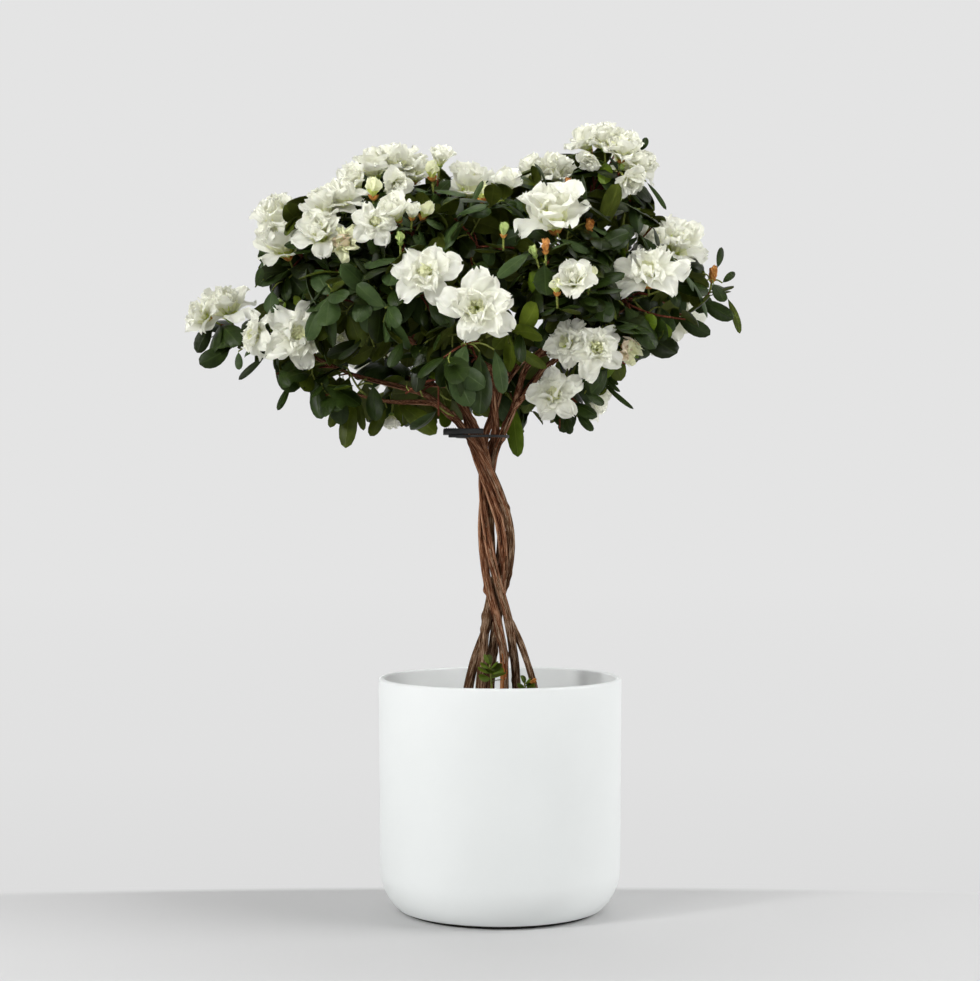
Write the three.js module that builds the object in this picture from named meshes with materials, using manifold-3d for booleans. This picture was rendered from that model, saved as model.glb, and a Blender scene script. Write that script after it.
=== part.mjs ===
// Standard azalea: six stems twisted round each other, a wide crown of leaf whorls and
// double flowers, and a round-cornered ceramic pot. Millimetres, +Z up, front towards -Y.
import * as THREE from 'three';
import Module from 'manifold-3d';

const wasm = await Module();
wasm.setup();

// ---------------------------------------------------------------- driving sizes

const GAP = 0.3;

// The pot stands on its flat foot; the corner is a plain arc from the foot to the wall.
const POT = {
  height: 191,
  rimRadius: 100,
  cornerTopRadius: 98.8,
  cornerRadius: 43,
  cornerSweep: 54.5,
  wall: 4.5,
  floor: 7,
  lip: 2.2,
  sides: 32,
};
const SOIL_TOP = 162;

// Two plies of three stems each wind round one another, foot fanned out, head fanned out.
const TRUNK = {
  pitch: 214,
  crossing: 362,
  plyOffset: 8.2,
  strandOffset: 4.35,
  footRadius: 3.9,
  headRadius: 3.2,
  thinRadius: 2.5,
  flare: 1.22,
  flareHeight: 14,
  fanFootFrom: 262,
  fanHeadFrom: 378,
  levels: 21,
  sides: 6,
};

// Where each stem stands in the soil and where it forks, with the ply it winds in.
const STEMS = [
  { name: 'stem_left_outer', ply: 0, strand: 0, foot: [-29, -8], fork: [-52, -14, 421] },
  { name: 'stem_left_front', ply: 0, strand: 1, foot: [-17, -15], fork: [-43, 4, 441] },
  { name: 'stem_left_back', ply: 0, strand: 2, foot: [-9, 4], fork: [-32, 20, 432] },
  { name: 'stem_right_front', ply: 1, strand: 0, foot: [3, -7], fork: [-8, -16, 442] },
  { name: 'stem_right_back', ply: 1, strand: 1, foot: [14, 5], fork: [3, 12, 447] },
  { name: 'stem_right_outer', ply: 1, strand: 2, foot: [33, -6], fork: [18, -5, 424], thin: true },
];

// Each bough leaves one stem's fork and ends where it enters the masses it carries.
const BOUGH = { rootRadius: 2.3, tipRadius: 1.5, sides: 5, steps: 5 };
const BOUGHS = [
  { name: 'bough_long_left', stem: 0, tip: [-138, -22, 447], rise: 0.16 },
  { name: 'bough_low_left', stem: 0, tip: [-92, -42, 417], rise: 0.02 },
  { name: 'bough_upper_left', stem: 1, tip: [-128, -26, 520], rise: 0.4 },
  { name: 'bough_back_left', stem: 1, tip: [-108, 58, 505], rise: 0.4 },
  { name: 'bough_top_left', stem: 1, tip: [-66, -8, 553], rise: 0.4 },
  { name: 'bough_low_back_left', stem: 2, tip: [-72, 76, 440], rise: 0.2 },
  { name: 'bough_back', stem: 2, tip: [-22, 84, 474], rise: 0.35 },
  { name: 'bough_low_front', stem: 3, tip: [-32, -88, 449], rise: 0.25 },
  { name: 'bough_front', stem: 3, tip: [-66, -76, 494], rise: 0.35 },
  { name: 'bough_upper_front', stem: 3, tip: [-42, -66, 532], rise: 0.4 },
  { name: 'bough_top', stem: 4, tip: [-4, 4, 546], rise: 0.4 },
  { name: 'bough_top_right', stem: 4, tip: [60, 10, 574], rise: 0.4 },
  { name: 'bough_back_right', stem: 4, tip: [84, 72, 482], rise: 0.35 },
  { name: 'bough_low_right', stem: 5, tip: [50, -58, 428], rise: 0.1 },
  { name: 'bough_front_right', stem: 5, tip: [66, -66, 494], rise: 0.35 },
  { name: 'bough_right', stem: 5, tip: [112, -14, 506], rise: 0.35 },
];

// Each mass has a centre, a reach and its bough. A flower is its bearing from the front
// (towards +X), its lift above level and its width, all seen from the mass's centre.
const MASSES = [
  {
    name: 'mass_left_spray', at: [-230, -10, 478], reach: 46, bough: 0, shoots: 4,
    flowers: [[20, 66, 48], [-21, 16, 38]],
  },
  {
    name: 'mass_left_low', at: [-166, -52, 456], reach: 54, bough: 0, shoots: 5,
    flowers: [[-45, 20, 50], [20, 12, 62]],
  },
  { name: 'mass_left_under', at: [-126, -52, 422], reach: 52, bough: 1, shoots: 5, flowers: [] },
  {
    name: 'mass_left_high', at: [-172, -24, 546], reach: 52, bough: 2, shoots: 4,
    flowers: [[0, -19, 52], [-10, 42, 50], [29, 34, 40]],
  },
  {
    name: 'mass_front_left_high', at: [-128, -70, 557], reach: 53, bough: 2, shoots: 4,
    flowers: [[-15, -36, 44], [-16, 11, 42], [17, 33, 42], [32, -40, 34]],
  },
  {
    name: 'mass_back_left', at: [-160, 78, 500], reach: 58, bough: 3, shoots: 4,
    flowers: [[-150, 10, 56], [-110, -15, 48]],
  },
  {
    name: 'mass_back_left_high', at: [-108, 66, 572], reach: 54, bough: 3, shoots: 4,
    flowers: [[-170, 30, 54], [-140, -5, 46]],
  },
  {
    name: 'mass_top_left', at: [-92, -12, 596], reach: 50, bough: 4, shoots: 4,
    flowers: [[-34, 17, 50], [21, 16, 54], [160, 30, 48]],
  },
  {
    name: 'mass_top_mid', at: [-44, -22, 592], reach: 50, bough: 4, shoots: 4,
    flowers: [[-28, 48, 40], [27, 16, 50]],
  },
  {
    name: 'mass_back_left_low', at: [-96, 118, 450], reach: 56, bough: 5, shoots: 4,
    flowers: [[-150, 0, 56]],
  },
  {
    name: 'mass_back_mid', at: [-34, 138, 516], reach: 58, bough: 6, shoots: 4,
    flowers: [[175, 15, 60], [-150, -10, 48]],
  },
  { name: 'mass_back_low', at: [10, 118, 442], reach: 56, bough: 6, shoots: 4, flowers: [[170, 5, 50]] },
  { name: 'mass_front_low', at: [-19, -142, 462], reach: 58, bough: 7, shoots: 4, flowers: [[2, 23, 66]] },
  { name: 'mass_front_left_low', at: [-62, -100, 434], reach: 50, bough: 7, shoots: 5, flowers: [] },
  { name: 'mass_front_mid', at: [-58, -128, 502], reach: 54, bough: 8, shoots: 5, flowers: [[6, 9, 60]] },
  { name: 'mass_front_left_mid', at: [-112, -98, 492], reach: 54, bough: 8, shoots: 5, flowers: [] },
  {
    name: 'mass_front_top_left', at: [-80, -98, 545], reach: 50, bough: 9, shoots: 4,
    flowers: [[-27, -9, 50], [10, 28, 46]],
  },
  { name: 'mass_front_centre_high', at: [-18, -98, 544], reach: 54, bough: 9, shoots: 5, flowers: [] },
  {
    name: 'mass_top_mid_right', at: [14, -34, 584], reach: 50, bough: 10, shoots: 3,
    flowers: [[-20, 10, 42]],
  },
  {
    name: 'mass_back_high', at: [-14, 60, 582], reach: 56, bough: 10, shoots: 4,
    flowers: [[180, 45, 52], [165, 5, 44]],
  },
  {
    name: 'mass_top_right_back', at: [46, 40, 598], reach: 50, bough: 11, shoots: 4,
    flowers: [[-33, 20, 46], [3, 27, 40], [170, 20, 50]],
  },
  {
    name: 'mass_top_right_peak', at: [90, -4, 607], reach: 52, bough: 11, shoots: 4,
    flowers: [[-67, 31, 46], [-10, 39, 44], [40, -8, 50], [150, 20, 46]],
  },
  {
    name: 'mass_back_right', at: [78, 128, 512], reach: 58, bough: 12, shoots: 4,
    flowers: [[165, 20, 56], [150, -15, 46]],
  },
  {
    name: 'mass_back_right_side', at: [134, 70, 500], reach: 56, bough: 12, shoots: 4,
    flowers: [[120, 10, 54], [150, -20, 44]],
  },
  {
    name: 'mass_low_right', at: [53, -76, 420], reach: 50, bough: 13, shoots: 4,
    flowers: [[-24, 8, 62], [45, -1, 36]],
  },
  {
    name: 'mass_front_right_low', at: [72, -96, 456], reach: 52, bough: 13, shoots: 4,
    flowers: [[-43, 15, 52], [-2, -7, 54]],
  },
  {
    name: 'mass_right_front', at: [122, -66, 500], reach: 56, bough: 14, shoots: 4,
    flowers: [[-18, 24, 66]],
  },
  {
    name: 'mass_front_right_mid', at: [52, -112, 502], reach: 52, bough: 14, shoots: 5,
    flowers: [[3, 6, 44]],
  },
  {
    name: 'mass_front_right_high', at: [44, -90, 556], reach: 54, bough: 14, shoots: 5,
    flowers: [[-2, 11, 64]],
  },
  {
    name: 'mass_right_high', at: [134, -14, 543], reach: 50, bough: 15, shoots: 4,
    flowers: [[-29, -2, 44], [19, 3, 50], [130, 10, 46]],
  },
  { name: 'mass_right_spray', at: [178, 6, 497], reach: 48, bough: 15, shoots: 5, flowers: [] },
  { name: 'mass_right_shoulder', at: [90, -42, 556], reach: 50, bough: 15, shoots: 5, flowers: [] },
];

const CROWN_HEART = [-22, -5, 470];
const LEAF = { long: 50, width: 0.47, thick: 1.5, sunk: 0.8, droop: 0.22 };
const TWIG = { stemRadius: 1.9, rootRadius: 0.8, tipRadius: 2, whorl: 2.8 };
const FLOWER = { depth: 0.34, fullWidth: 50, narrowDeepens: 0.012 };

// ---------------------------------------------------------------- small helpers

const at = (x, y, z) => new THREE.Vector3(x, y, z);
const turn = (degrees) => (degrees * Math.PI) / 180;
const along = (a, b, t) => a.clone().lerp(b, t);
const ease = (t) => {
  const s = Math.min(1, Math.max(0, t));
  return s * s * (3 - 2 * s);
};

// The same seed always grows the same plant.
class Growth {
  constructor(seed) {
    this.state = seed;
  }
  next() {
    this.state = (this.state * 1664525 + 1013904223) % 4294967296;
    return this.state / 4294967296;
  }
  between(low, high) {
    return low + (high - low) * this.next();
  }
}

// A solid is a list of points and of triangles, turned so that its faces point outwards.
function solid(points, faces) {
  let volume = 0;
  for (const [a, b, c] of faces) {
    volume += points[a].dot(points[b].clone().cross(points[c]));
  }
  return { points, faces: volume < 0 ? faces.map(([a, b, c]) => [a, c, b]) : faces };
}

function crossAxes(direction, hint = at(0, 0, 1)) {
  const n = direction.clone().normalize();
  const side = Math.abs(n.dot(hint)) > 0.97 ? at(1, 0, 0) : hint.clone();
  const u = side.sub(n.clone().multiplyScalar(side.dot(n))).normalize();
  return [u, n.clone().cross(u)];
}

// A limb is a closed tube with flat ends; its first ring can lie in a plane of its own.
function limb(path, radii, sides, firstNormal = null) {
  const points = [];
  const faces = [];
  let u = null;
  path.forEach((p, i) => {
    const before = path[Math.max(0, i - 1)];
    const after = path[Math.min(path.length - 1, i + 1)];
    const n = i === 0 && firstNormal ? firstNormal.clone() : after.clone().sub(before).normalize();
    u = u ? u.sub(n.clone().multiplyScalar(u.dot(n))).normalize() : crossAxes(n)[0];
    const v = n.clone().cross(u);
    for (let k = 0; k < sides; k += 1) {
      const a = (2 * Math.PI * k) / sides;
      points.push(
        p.clone().addScaledVector(u, radii[i] * Math.cos(a)).addScaledVector(v, radii[i] * Math.sin(a)),
      );
    }
  });
  for (let i = 0; i + 1 < path.length; i += 1) {
    for (let k = 0; k < sides; k += 1) {
      const a = i * sides + k;
      const b = i * sides + ((k + 1) % sides);
      faces.push([a, b, b + sides], [a, b + sides, a + sides]);
    }
  }
  const last = (path.length - 1) * sides;
  for (let k = 1; k + 1 < sides; k += 1) {
    faces.push([0, k + 1, k], [last, last + k, last + k + 1]);
  }
  return solid(points, faces);
}

// A turned body from a profile of [radius, height] that starts and ends on the axis.
function turned(profile, sides) {
  const points = [at(0, 0, profile[0][1])];
  const inner = profile.slice(1, -1);
  for (const [r, z] of inner) {
    for (let k = 0; k < sides; k += 1) {
      const a = (2 * Math.PI * k) / sides;
      points.push(at(r * Math.cos(a), r * Math.sin(a), z));
    }
  }
  points.push(at(0, 0, profile[profile.length - 1][1]));
  const end = points.length - 1;
  const faces = [];
  for (let k = 0; k < sides; k += 1) {
    const j = (k + 1) % sides;
    faces.push([0, 1 + j, 1 + k]);
    for (let i = 0; i + 1 < inner.length; i += 1) {
      const a = 1 + i * sides;
      const b = a + sides;
      faces.push([a + k, a + j, b + j], [a + k, b + j, b + k]);
    }
    const top = 1 + (inner.length - 1) * sides;
    faces.push([top + k, top + j, end]);
  }
  return solid(points, faces);
}

function box(from, to) {
  const points = [];
  for (const z of [from[2], to[2]]) {
    points.push(at(from[0], from[1], z), at(to[0], from[1], z), at(to[0], to[1], z), at(from[0], to[1], z));
  }
  const faces = [[0, 2, 1], [0, 3, 2], [4, 5, 6], [4, 6, 7]];
  for (let k = 0; k < 4; k += 1) {
    const j = (k + 1) % 4;
    faces.push([k, j, j + 4], [k, j + 4, k + 4]);
  }
  return solid(points, faces);
}

function toManifold({ points, faces }) {
  const mesh = new wasm.Mesh({
    numProp: 3,
    vertProperties: Float32Array.from(points.flatMap((p) => [p.x, p.y, p.z])),
    triVerts: Uint32Array.from(faces.flat()),
  });
  return new wasm.Manifold(mesh);
}

// Points a hair's breadth apart become one, and the faces that vanish with them are dropped.
function welded({ points, faces }) {
  const kept = [];
  const place = points.map((p) => {
    let k = kept.findIndex((q) => q.distanceTo(p) < 0.02);
    if (k < 0) {
      k = kept.length;
      kept.push(p);
    }
    return k;
  });
  const left = faces
    .map((face) => face.map((i) => place[i]))
    .filter(([a, b, c]) => a !== b && b !== c && c !== a);
  return { points: kept, faces: left };
}

// A sound skin has every edge once in each direction, and no two points that nearly meet.
function sound({ points, faces }) {
  const edges = new Set();
  for (const [a, b, c] of faces) {
    for (const edge of [`${a} ${b}`, `${b} ${c}`, `${c} ${a}`]) {
      if (edges.has(edge)) {
        return false;
      }
      edges.add(edge);
    }
  }
  const paired = [...edges].every((edge) => edges.has(edge.split(' ').reverse().join(' ')));
  return paired && points.every((p, i) => points.every((q, k) => k <= i || p.distanceTo(q) > 0.01));
}

// Joined solids keep their one large body; sealed hollows and loose scraps are dropped.
function joined(solids) {
  const whole = wasm.Manifold.union(solids.map(toManifold)).asOriginal().simplify(0.12);
  const bodies = whole.decompose();
  bodies.sort((a, b) => b.volume() - a.volume());
  const mesh = bodies[0].getMesh();
  const points = [];
  for (let i = 0; i < mesh.vertProperties.length; i += mesh.numProp) {
    points.push(at(mesh.vertProperties[i], mesh.vertProperties[i + 1], mesh.vertProperties[i + 2]));
  }
  const faces = [];
  for (let i = 0; i < mesh.triVerts.length; i += 3) {
    faces.push([mesh.triVerts[i], mesh.triVerts[i + 1], mesh.triVerts[i + 2]]);
  }
  return welded({ points, faces });
}

// ---------------------------------------------------------------- pot and soil

function potArc(radius, from, to, count) {
  const centre = [POT.cornerTopRadius - POT.cornerRadius, POT.cornerRadius * Math.sin(turn(POT.cornerSweep))];
  const points = [];
  for (let i = 0; i <= count; i += 1) {
    const a = turn(from + ((to - from) * i) / count);
    points.push([centre[0] + radius * Math.cos(a), centre[1] + radius * Math.sin(a)]);
  }
  return points;
}

function pot() {
  const inside = POT.rimRadius - POT.wall;
  const innerArc = POT.cornerRadius - POT.wall;
  const cornerTop = POT.cornerRadius * Math.sin(turn(POT.cornerSweep));
  const floorAngle = -Math.asin((cornerTop - POT.floor) / innerArc) / (Math.PI / 180);
  return turned(
    [
      [0, 0],
      ...potArc(POT.cornerRadius, -POT.cornerSweep, 0, 4),
      [POT.rimRadius, POT.height - POT.lip],
      [POT.rimRadius - 0.7, POT.height - 0.7],
      [POT.rimRadius - POT.lip, POT.height],
      [inside + 1, POT.height],
      [inside, POT.height - 1],
      ...potArc(innerArc, 0, floorAngle, 2),
      [0, POT.floor],
    ],
    POT.sides,
  );
}

function soil() {
  const innerArc = POT.cornerRadius - POT.wall - GAP - 0.2;
  const cornerTop = POT.cornerRadius * Math.sin(turn(POT.cornerSweep));
  const bottom = POT.floor + GAP;
  const floorAngle = -Math.asin((cornerTop - bottom) / innerArc) / (Math.PI / 180);
  return turned(
    [
      [0, bottom],
      ...potArc(innerArc, floorAngle, 0, 2),
      [POT.cornerTopRadius - POT.wall - GAP - 0.2, SOIL_TOP],
      [0, SOIL_TOP],
    ],
    POT.sides,
  );
}

// ---------------------------------------------------------------- twisted stems

function stemRadius(stem, z) {
  const top = stem.fork[2];
  const share = (z - SOIL_TOP) / (top - SOIL_TOP);
  const foot = stem.thin ? TRUNK.thinRadius : TRUNK.footRadius;
  const head = stem.thin ? TRUNK.thinRadius + 0.4 : TRUNK.headRadius;
  const flare = 1 + (TRUNK.flare - 1) * Math.max(0, 1 - (z - SOIL_TOP) / TRUNK.flareHeight);
  return (foot + (head - foot) * share) * flare;
}

function twistedPlace(stem, z) {
  const lean = [-2.5 * ease((z - 180) / 100) - 10 * ease((z - 300) / 80), 0];
  const ply = ((TRUNK.crossing - z) / TRUNK.pitch) * 360 - 90 + 180 * stem.ply;
  const strand = ply * 0.6 + 120 * stem.strand + 40 * stem.ply;
  return [
    lean[0] + TRUNK.plyOffset * Math.cos(turn(ply)) + TRUNK.strandOffset * Math.cos(turn(strand)),
    lean[1] + TRUNK.plyOffset * Math.sin(turn(ply)) + TRUNK.strandOffset * Math.sin(turn(strand)),
  ];
}

function freePlace(stem, z) {
  const [x, y] = twistedPlace(stem, z);
  const foot = 1 - ease((z - SOIL_TOP) / (TRUNK.fanFootFrom - SOIL_TOP));
  const head = ease((z - TRUNK.fanHeadFrom) / (stem.fork[2] - TRUNK.fanHeadFrom)) ** 1.2;
  return [
    x + (stem.foot[0] - x) * foot + (stem.fork[0] - x) * head,
    y + (stem.foot[1] - y) * foot + (stem.fork[1] - y) * head,
  ];
}

// Stems that would press into each other at one level are eased apart.
function pushApart(places, radii) {
  for (let round = 0; round < 80; round += 1) {
    for (let i = 0; i < places.length; i += 1) {
      for (let j = i + 1; j < places.length; j += 1) {
        const dx = places[j][0] - places[i][0];
        const dy = places[j][1] - places[i][1];
        const near = Math.hypot(dx, dy) || 0.01;
        const need = (radii[i] + radii[j]) * 1.13 + GAP + 0.2;
        if (near < need) {
          const push = (need - near) / 2 / near;
          places[i][0] -= dx * push;
          places[i][1] -= dy * push;
          places[j][0] += dx * push;
          places[j][1] += dy * push;
        }
      }
    }
  }
}

function stemPaths() {
  const foot = SOIL_TOP + GAP;
  const head = Math.max(...STEMS.map((stem) => stem.fork[2]));
  const levels = [];
  for (let i = 0; i <= TRUNK.levels; i += 1) {
    const z = foot + ((head - foot) * i) / TRUNK.levels;
    const places = STEMS.map((stem) => freePlace(stem, Math.min(z, stem.fork[2])));
    levels.push({ z, places, radii: STEMS.map((stem) => stemRadius(stem, z)) });
  }
  for (let pass = 0; pass < 4; pass += 1) {
    levels.forEach((level) => pushApart(level.places, level.radii));
    if (pass < 3) {
      const soft = levels.map((level, i) => {
        const low = levels[Math.max(0, i - 1)].places;
        const high = levels[Math.min(levels.length - 1, i + 1)].places;
        return level.places.map((p, k) => [
          (low[k][0] + 2 * p[0] + high[k][0]) / 4,
          (low[k][1] + 2 * p[1] + high[k][1]) / 4,
        ]);
      });
      levels.forEach((level, i) => {
        level.places = soft[i];
      });
    }
  }
  return STEMS.map((stem, k) => {
    const path = [];
    const radii = [];
    for (const level of levels) {
      if (level.z < stem.fork[2] - 4) {
        path.push(at(level.places[k][0], level.places[k][1], level.z));
        radii.push(level.radii[k]);
      }
    }
    const last = path[path.length - 1];
    const before = path[path.length - 2];
    const direction = last.clone().sub(before).normalize();
    path.push(last.clone().addScaledVector(direction, 5));
    radii.push(radii[radii.length - 1]);
    return { path, radii, tip: path[path.length - 1], direction };
  });
}

// Limbs that leave one fork stand side by side round it, clear of it and of each other,
// each on the side that it grows towards.
function forkStarts(tip, direction, targets, radius) {
  const [u, v] = crossAxes(direction);
  const count = targets.length;
  const spread = count === 1 ? 0 : (radius + GAP * 0.6) / Math.sin(Math.PI / count);
  const ways = targets.map((target) => target.clone().sub(tip).normalize());
  const side = (degrees) =>
    u.clone().multiplyScalar(Math.cos(turn(degrees))).addScaledVector(v, Math.sin(turn(degrees)));
  let best = { score: -Infinity };
  for (let shift = 0; shift < 360; shift += 10) {
    for (const hand of [1, -1]) {
      const sides = ways.map((_, i) => side(shift + (hand * 360 * i) / count));
      const score = ways.reduce((sum, way, i) => sum + way.dot(sides[i]), 0);
      if (score > best.score) {
        best = { score, sides };
      }
    }
  }
  return best.sides.map((out) => tip.clone().addScaledVector(direction, GAP).addScaledVector(out, spread));
}

function arch(start, fork, direction, end, rise, steps) {
  const reach = start.distanceTo(end);
  const out = end.clone().sub(start).normalize();
  const apart = start.clone().sub(fork).addScaledVector(direction, -GAP);
  const first = start
    .clone()
    .addScaledVector(direction.clone().lerp(out, 0.35).normalize(), reach * 0.33)
    .addScaledVector(apart, 3);
  const last = end.clone().addScaledVector(out.clone().add(at(0, 0, rise)).normalize(), -reach * 0.33);
  const curve = new THREE.CubicBezierCurve3(start, first, last, end);
  return curve.getPoints(steps);
}

function taper(from, to, count) {
  return Array.from({ length: count }, (_, i) => from + ((to - from) * i) / (count - 1));
}

// ---------------------------------------------------------------- leaves and flowers

// A leaf is an oval blade, thickest low on its midrib and narrowed to the stalk.
function leaf(root, out, up, length) {
  const u = out.clone().normalize();
  const w = up.clone().sub(u.clone().multiplyScalar(up.dot(u))).normalize();
  const v = w.clone().cross(u);
  const half = (length * LEAF.width) / 2;
  const spot = (a, b, c) =>
    root.clone().addScaledVector(u, a * length).addScaledVector(v, b * half).addScaledVector(w, c);
  const points = [
    spot(0, 0, 0),
    spot(0.34, 0.8, 0.4),
    spot(0.72, 0.9, -0.6),
    spot(1, 0, -length * 0.07),
    spot(0.72, -0.9, -0.6),
    spot(0.34, -0.8, 0.4),
    spot(0.3, 0, LEAF.thick),
  ];
  const faces = [[1, 0, 5], [1, 5, 4], [1, 4, 3], [1, 3, 2]];
  for (let k = 0; k < 6; k += 1) {
    faces.push([6, k, (k + 1) % 6]);
  }
  return solid(points, faces);
}

// A double flower: a ruffled cup whose ten petal ends alternate, with a crumpled middle.
function flower(base, facing, width, spin) {
  const n = facing.clone().normalize();
  const [u, v] = crossAxes(n);
  const narrow = Math.max(0, FLOWER.fullWidth - width);
  const depth = width * (FLOWER.depth + narrow * FLOWER.narrowDeepens);
  const spot = (radius, degrees, height) => {
    const a = turn(degrees + spin);
    return base
      .clone()
      .addScaledVector(u, radius * Math.cos(a))
      .addScaledVector(v, radius * Math.sin(a))
      .addScaledVector(n, height);
  };
  const points = [spot(0, 0, 0)];
  for (let k = 0; k < 10; k += 1) {
    const long = k % 2 === 0;
    points.push(spot((width / 2) * (long ? 1 : 0.8), 36 * k, depth * (long ? 0.86 : 1)));
  }
  for (let k = 0; k < 5; k += 1) {
    points.push(spot(width * 0.2, 72 * k + 36, depth * 0.8));
  }
  points.push(spot(0, 0, depth * 1.12));
  const faces = [];
  for (let k = 0; k < 5; k += 1) {
    const mid = 1 + 2 * k;
    const next = 1 + ((2 * k + 1) % 10);
    const far = 1 + ((2 * k + 2) % 10);
    const inner = 11 + k;
    const after = 11 + ((k + 1) % 5);
    faces.push([0, far, mid], [mid, far, next]);
    faces.push([mid, next, inner], [next, far, inner], [far, after, inner], [inner, after, 16]);
  }
  return solid(points, faces);
}

// ---------------------------------------------------------------- masses

const centreOf = (mass) => at(...mass.at);

// A mass keeps inside its reach and on its own side of the plane it shares with the next.
function inSpace(mass, point, margin) {
  const own = point.distanceToSquared(centreOf(mass)) - mass.reach ** 2;
  if (Math.sqrt(point.distanceToSquared(centreOf(mass))) > mass.reach - margin) {
    return false;
  }
  return MASSES.every((other) => {
    if (other === mass) {
      return true;
    }
    const apart = centreOf(other).distanceTo(centreOf(mass));
    const theirs = point.distanceToSquared(centreOf(other)) - other.reach ** 2;
    return theirs - own > 2 * apart * margin;
  });
}

function nearLimb(point, limbs, room) {
  return limbs.some(({ from, to, radius }) => {
    const way = to.clone().sub(from);
    const t = Math.min(1, Math.max(0, point.clone().sub(from).dot(way) / way.lengthSq()));
    return point.distanceTo(from.clone().addScaledVector(way, t)) < radius + room;
  });
}

// Corners, edge middles and face middles, close enough together to feel a limb between.
function feelers({ points, faces }) {
  const found = [...points];
  for (const [a, b, c] of faces) {
    found.push(along(points[a], points[b], 0.5), along(points[b], points[c], 0.5));
    found.push(along(points[c], points[a], 0.5));
    const middle = points[a].clone().add(points[b]).add(points[c]).multiplyScalar(1 / 3);
    found.push(middle, along(middle, points[a], 0.5), along(middle, points[b], 0.5));
    found.push(along(middle, points[c], 0.5));
  }
  return found;
}

function fits(mass, piece, limbs, room) {
  if (!piece.points.every((p) => inSpace(mass, p, 0.25))) {
    return false;
  }
  return !feelers(piece).some((p) => nearLimb(p, limbs, room));
}

function wayFrom(bearing, lift) {
  const b = turn(bearing);
  const l = turn(lift);
  return at(Math.sin(b) * Math.cos(l), -Math.cos(b) * Math.cos(l), Math.sin(l));
}

// Shoots leave the middle of a mass evenly, and keep clear of those already there.
function shootWays(mass, taken, count, growth) {
  const outward = centreOf(mass).sub(at(...CROWN_HEART)).normalize();
  const spin = growth.between(0, 360);
  const ways = [];
  for (let k = 0; k < 40; k += 1) {
    const z = 1 - (2 * k + 1) / 40;
    const a = turn(spin + 137.5 * k);
    const way = at(Math.cos(a) * Math.sqrt(1 - z * z), Math.sin(a) * Math.sqrt(1 - z * z), z);
    if (way.dot(outward) > -0.62) {
      ways.push(way);
    }
  }
  const chosen = [...taken];
  while (chosen.length < taken.length + count) {
    const nearest = (way) => Math.max(-1, ...chosen.map((other) => other.dot(way)));
    ways.sort((a, b) => nearest(a) - nearest(b));
    chosen.push(ways.shift());
  }
  return chosen.slice(taken.length);
}

// A mass's own stem runs from its bough's tip to the inner side of the mass.
function mainStem(mass, { start, way, apart }) {
  const outward = centreOf(mass).sub(at(...CROWN_HEART)).normalize();
  const hub = along(centreOf(mass).addScaledVector(outward, -mass.reach * 0.2), start, 0.12);
  const bend = along(start, hub, 0.5).addScaledVector(way, 2.5).addScaledVector(apart, 1.2);
  return { hub, bend };
}

// Whether two leaves or flowers would cross, away from the shoot that both root in.
function crosses(piece, others) {
  const probe = new THREE.Ray();
  const hit = new THREE.Vector3();
  const edges = ({ points, faces }) =>
    faces
      .flatMap(([a, b, c]) => [[a, b], [b, c], [c, a]])
      .filter(([a, b]) => a < b)
      .map(([a, b]) => [points[a], points[b]]);
  const strike = (first, second) =>
    edges(first).some(([a, b]) => {
      const length = a.distanceTo(b);
      probe.set(a, b.clone().sub(a).normalize());
      return second.faces.some((face) => {
        const [p, q, r] = face.map((i) => second.points[i]);
        const found = probe.intersectTriangle(p, q, r, false, hit);
        return found !== null && a.distanceTo(hit) < length;
      });
    });
  return others.some((other) => strike(piece, other) || strike(other, piece));
}

// Leaves climb the end of a shoot in a spiral, each facing up and sagging a little. One
// that has no room is turned aside, then made smaller, and then left out.
function growWhorl(mass, from, tip, way, count, growth, limbs, blades) {
  const [u, v] = crossAxes(way);
  const axis = tip.clone().sub(from).normalize();
  const turnBy = growth.between(0, 360);
  const tries = [1, 0.88, 0.76].flatMap((share) => [0, 26, -26].map((aside) => [share, aside]));
  for (let k = 0; k < count; k += 1) {
    const around = turnBy + (360 * k) / count + growth.between(-14, 14);
    const open = turn(growth.between(52, 82));
    const full = growth.between(0.86, 1.08) * LEAF.long;
    const sag = LEAF.droop * growth.between(0.4, 1.4);
    const low = -1 - (TWIG.whorl * k * 4) / count;
    for (const [share, aside] of tries) {
      const a = turn(around + aside);
      const side = u.clone().multiplyScalar(Math.cos(a)).addScaledVector(v, Math.sin(a));
      const out = way.clone().multiplyScalar(Math.cos(open)).addScaledVector(side, Math.sin(open));
      out.z -= sag;
      out.normalize();
      const root = tip.clone().addScaledVector(axis, low).addScaledVector(out, -LEAF.sunk);
      const blade = leaf(root, out, way.clone().add(at(0, 0, 0.9)), full * share);
      if (fits(mass, blade, limbs, 2.5) && !crosses(blade, blades)) {
        blades.push(blade);
        break;
      }
    }
  }
}

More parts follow.
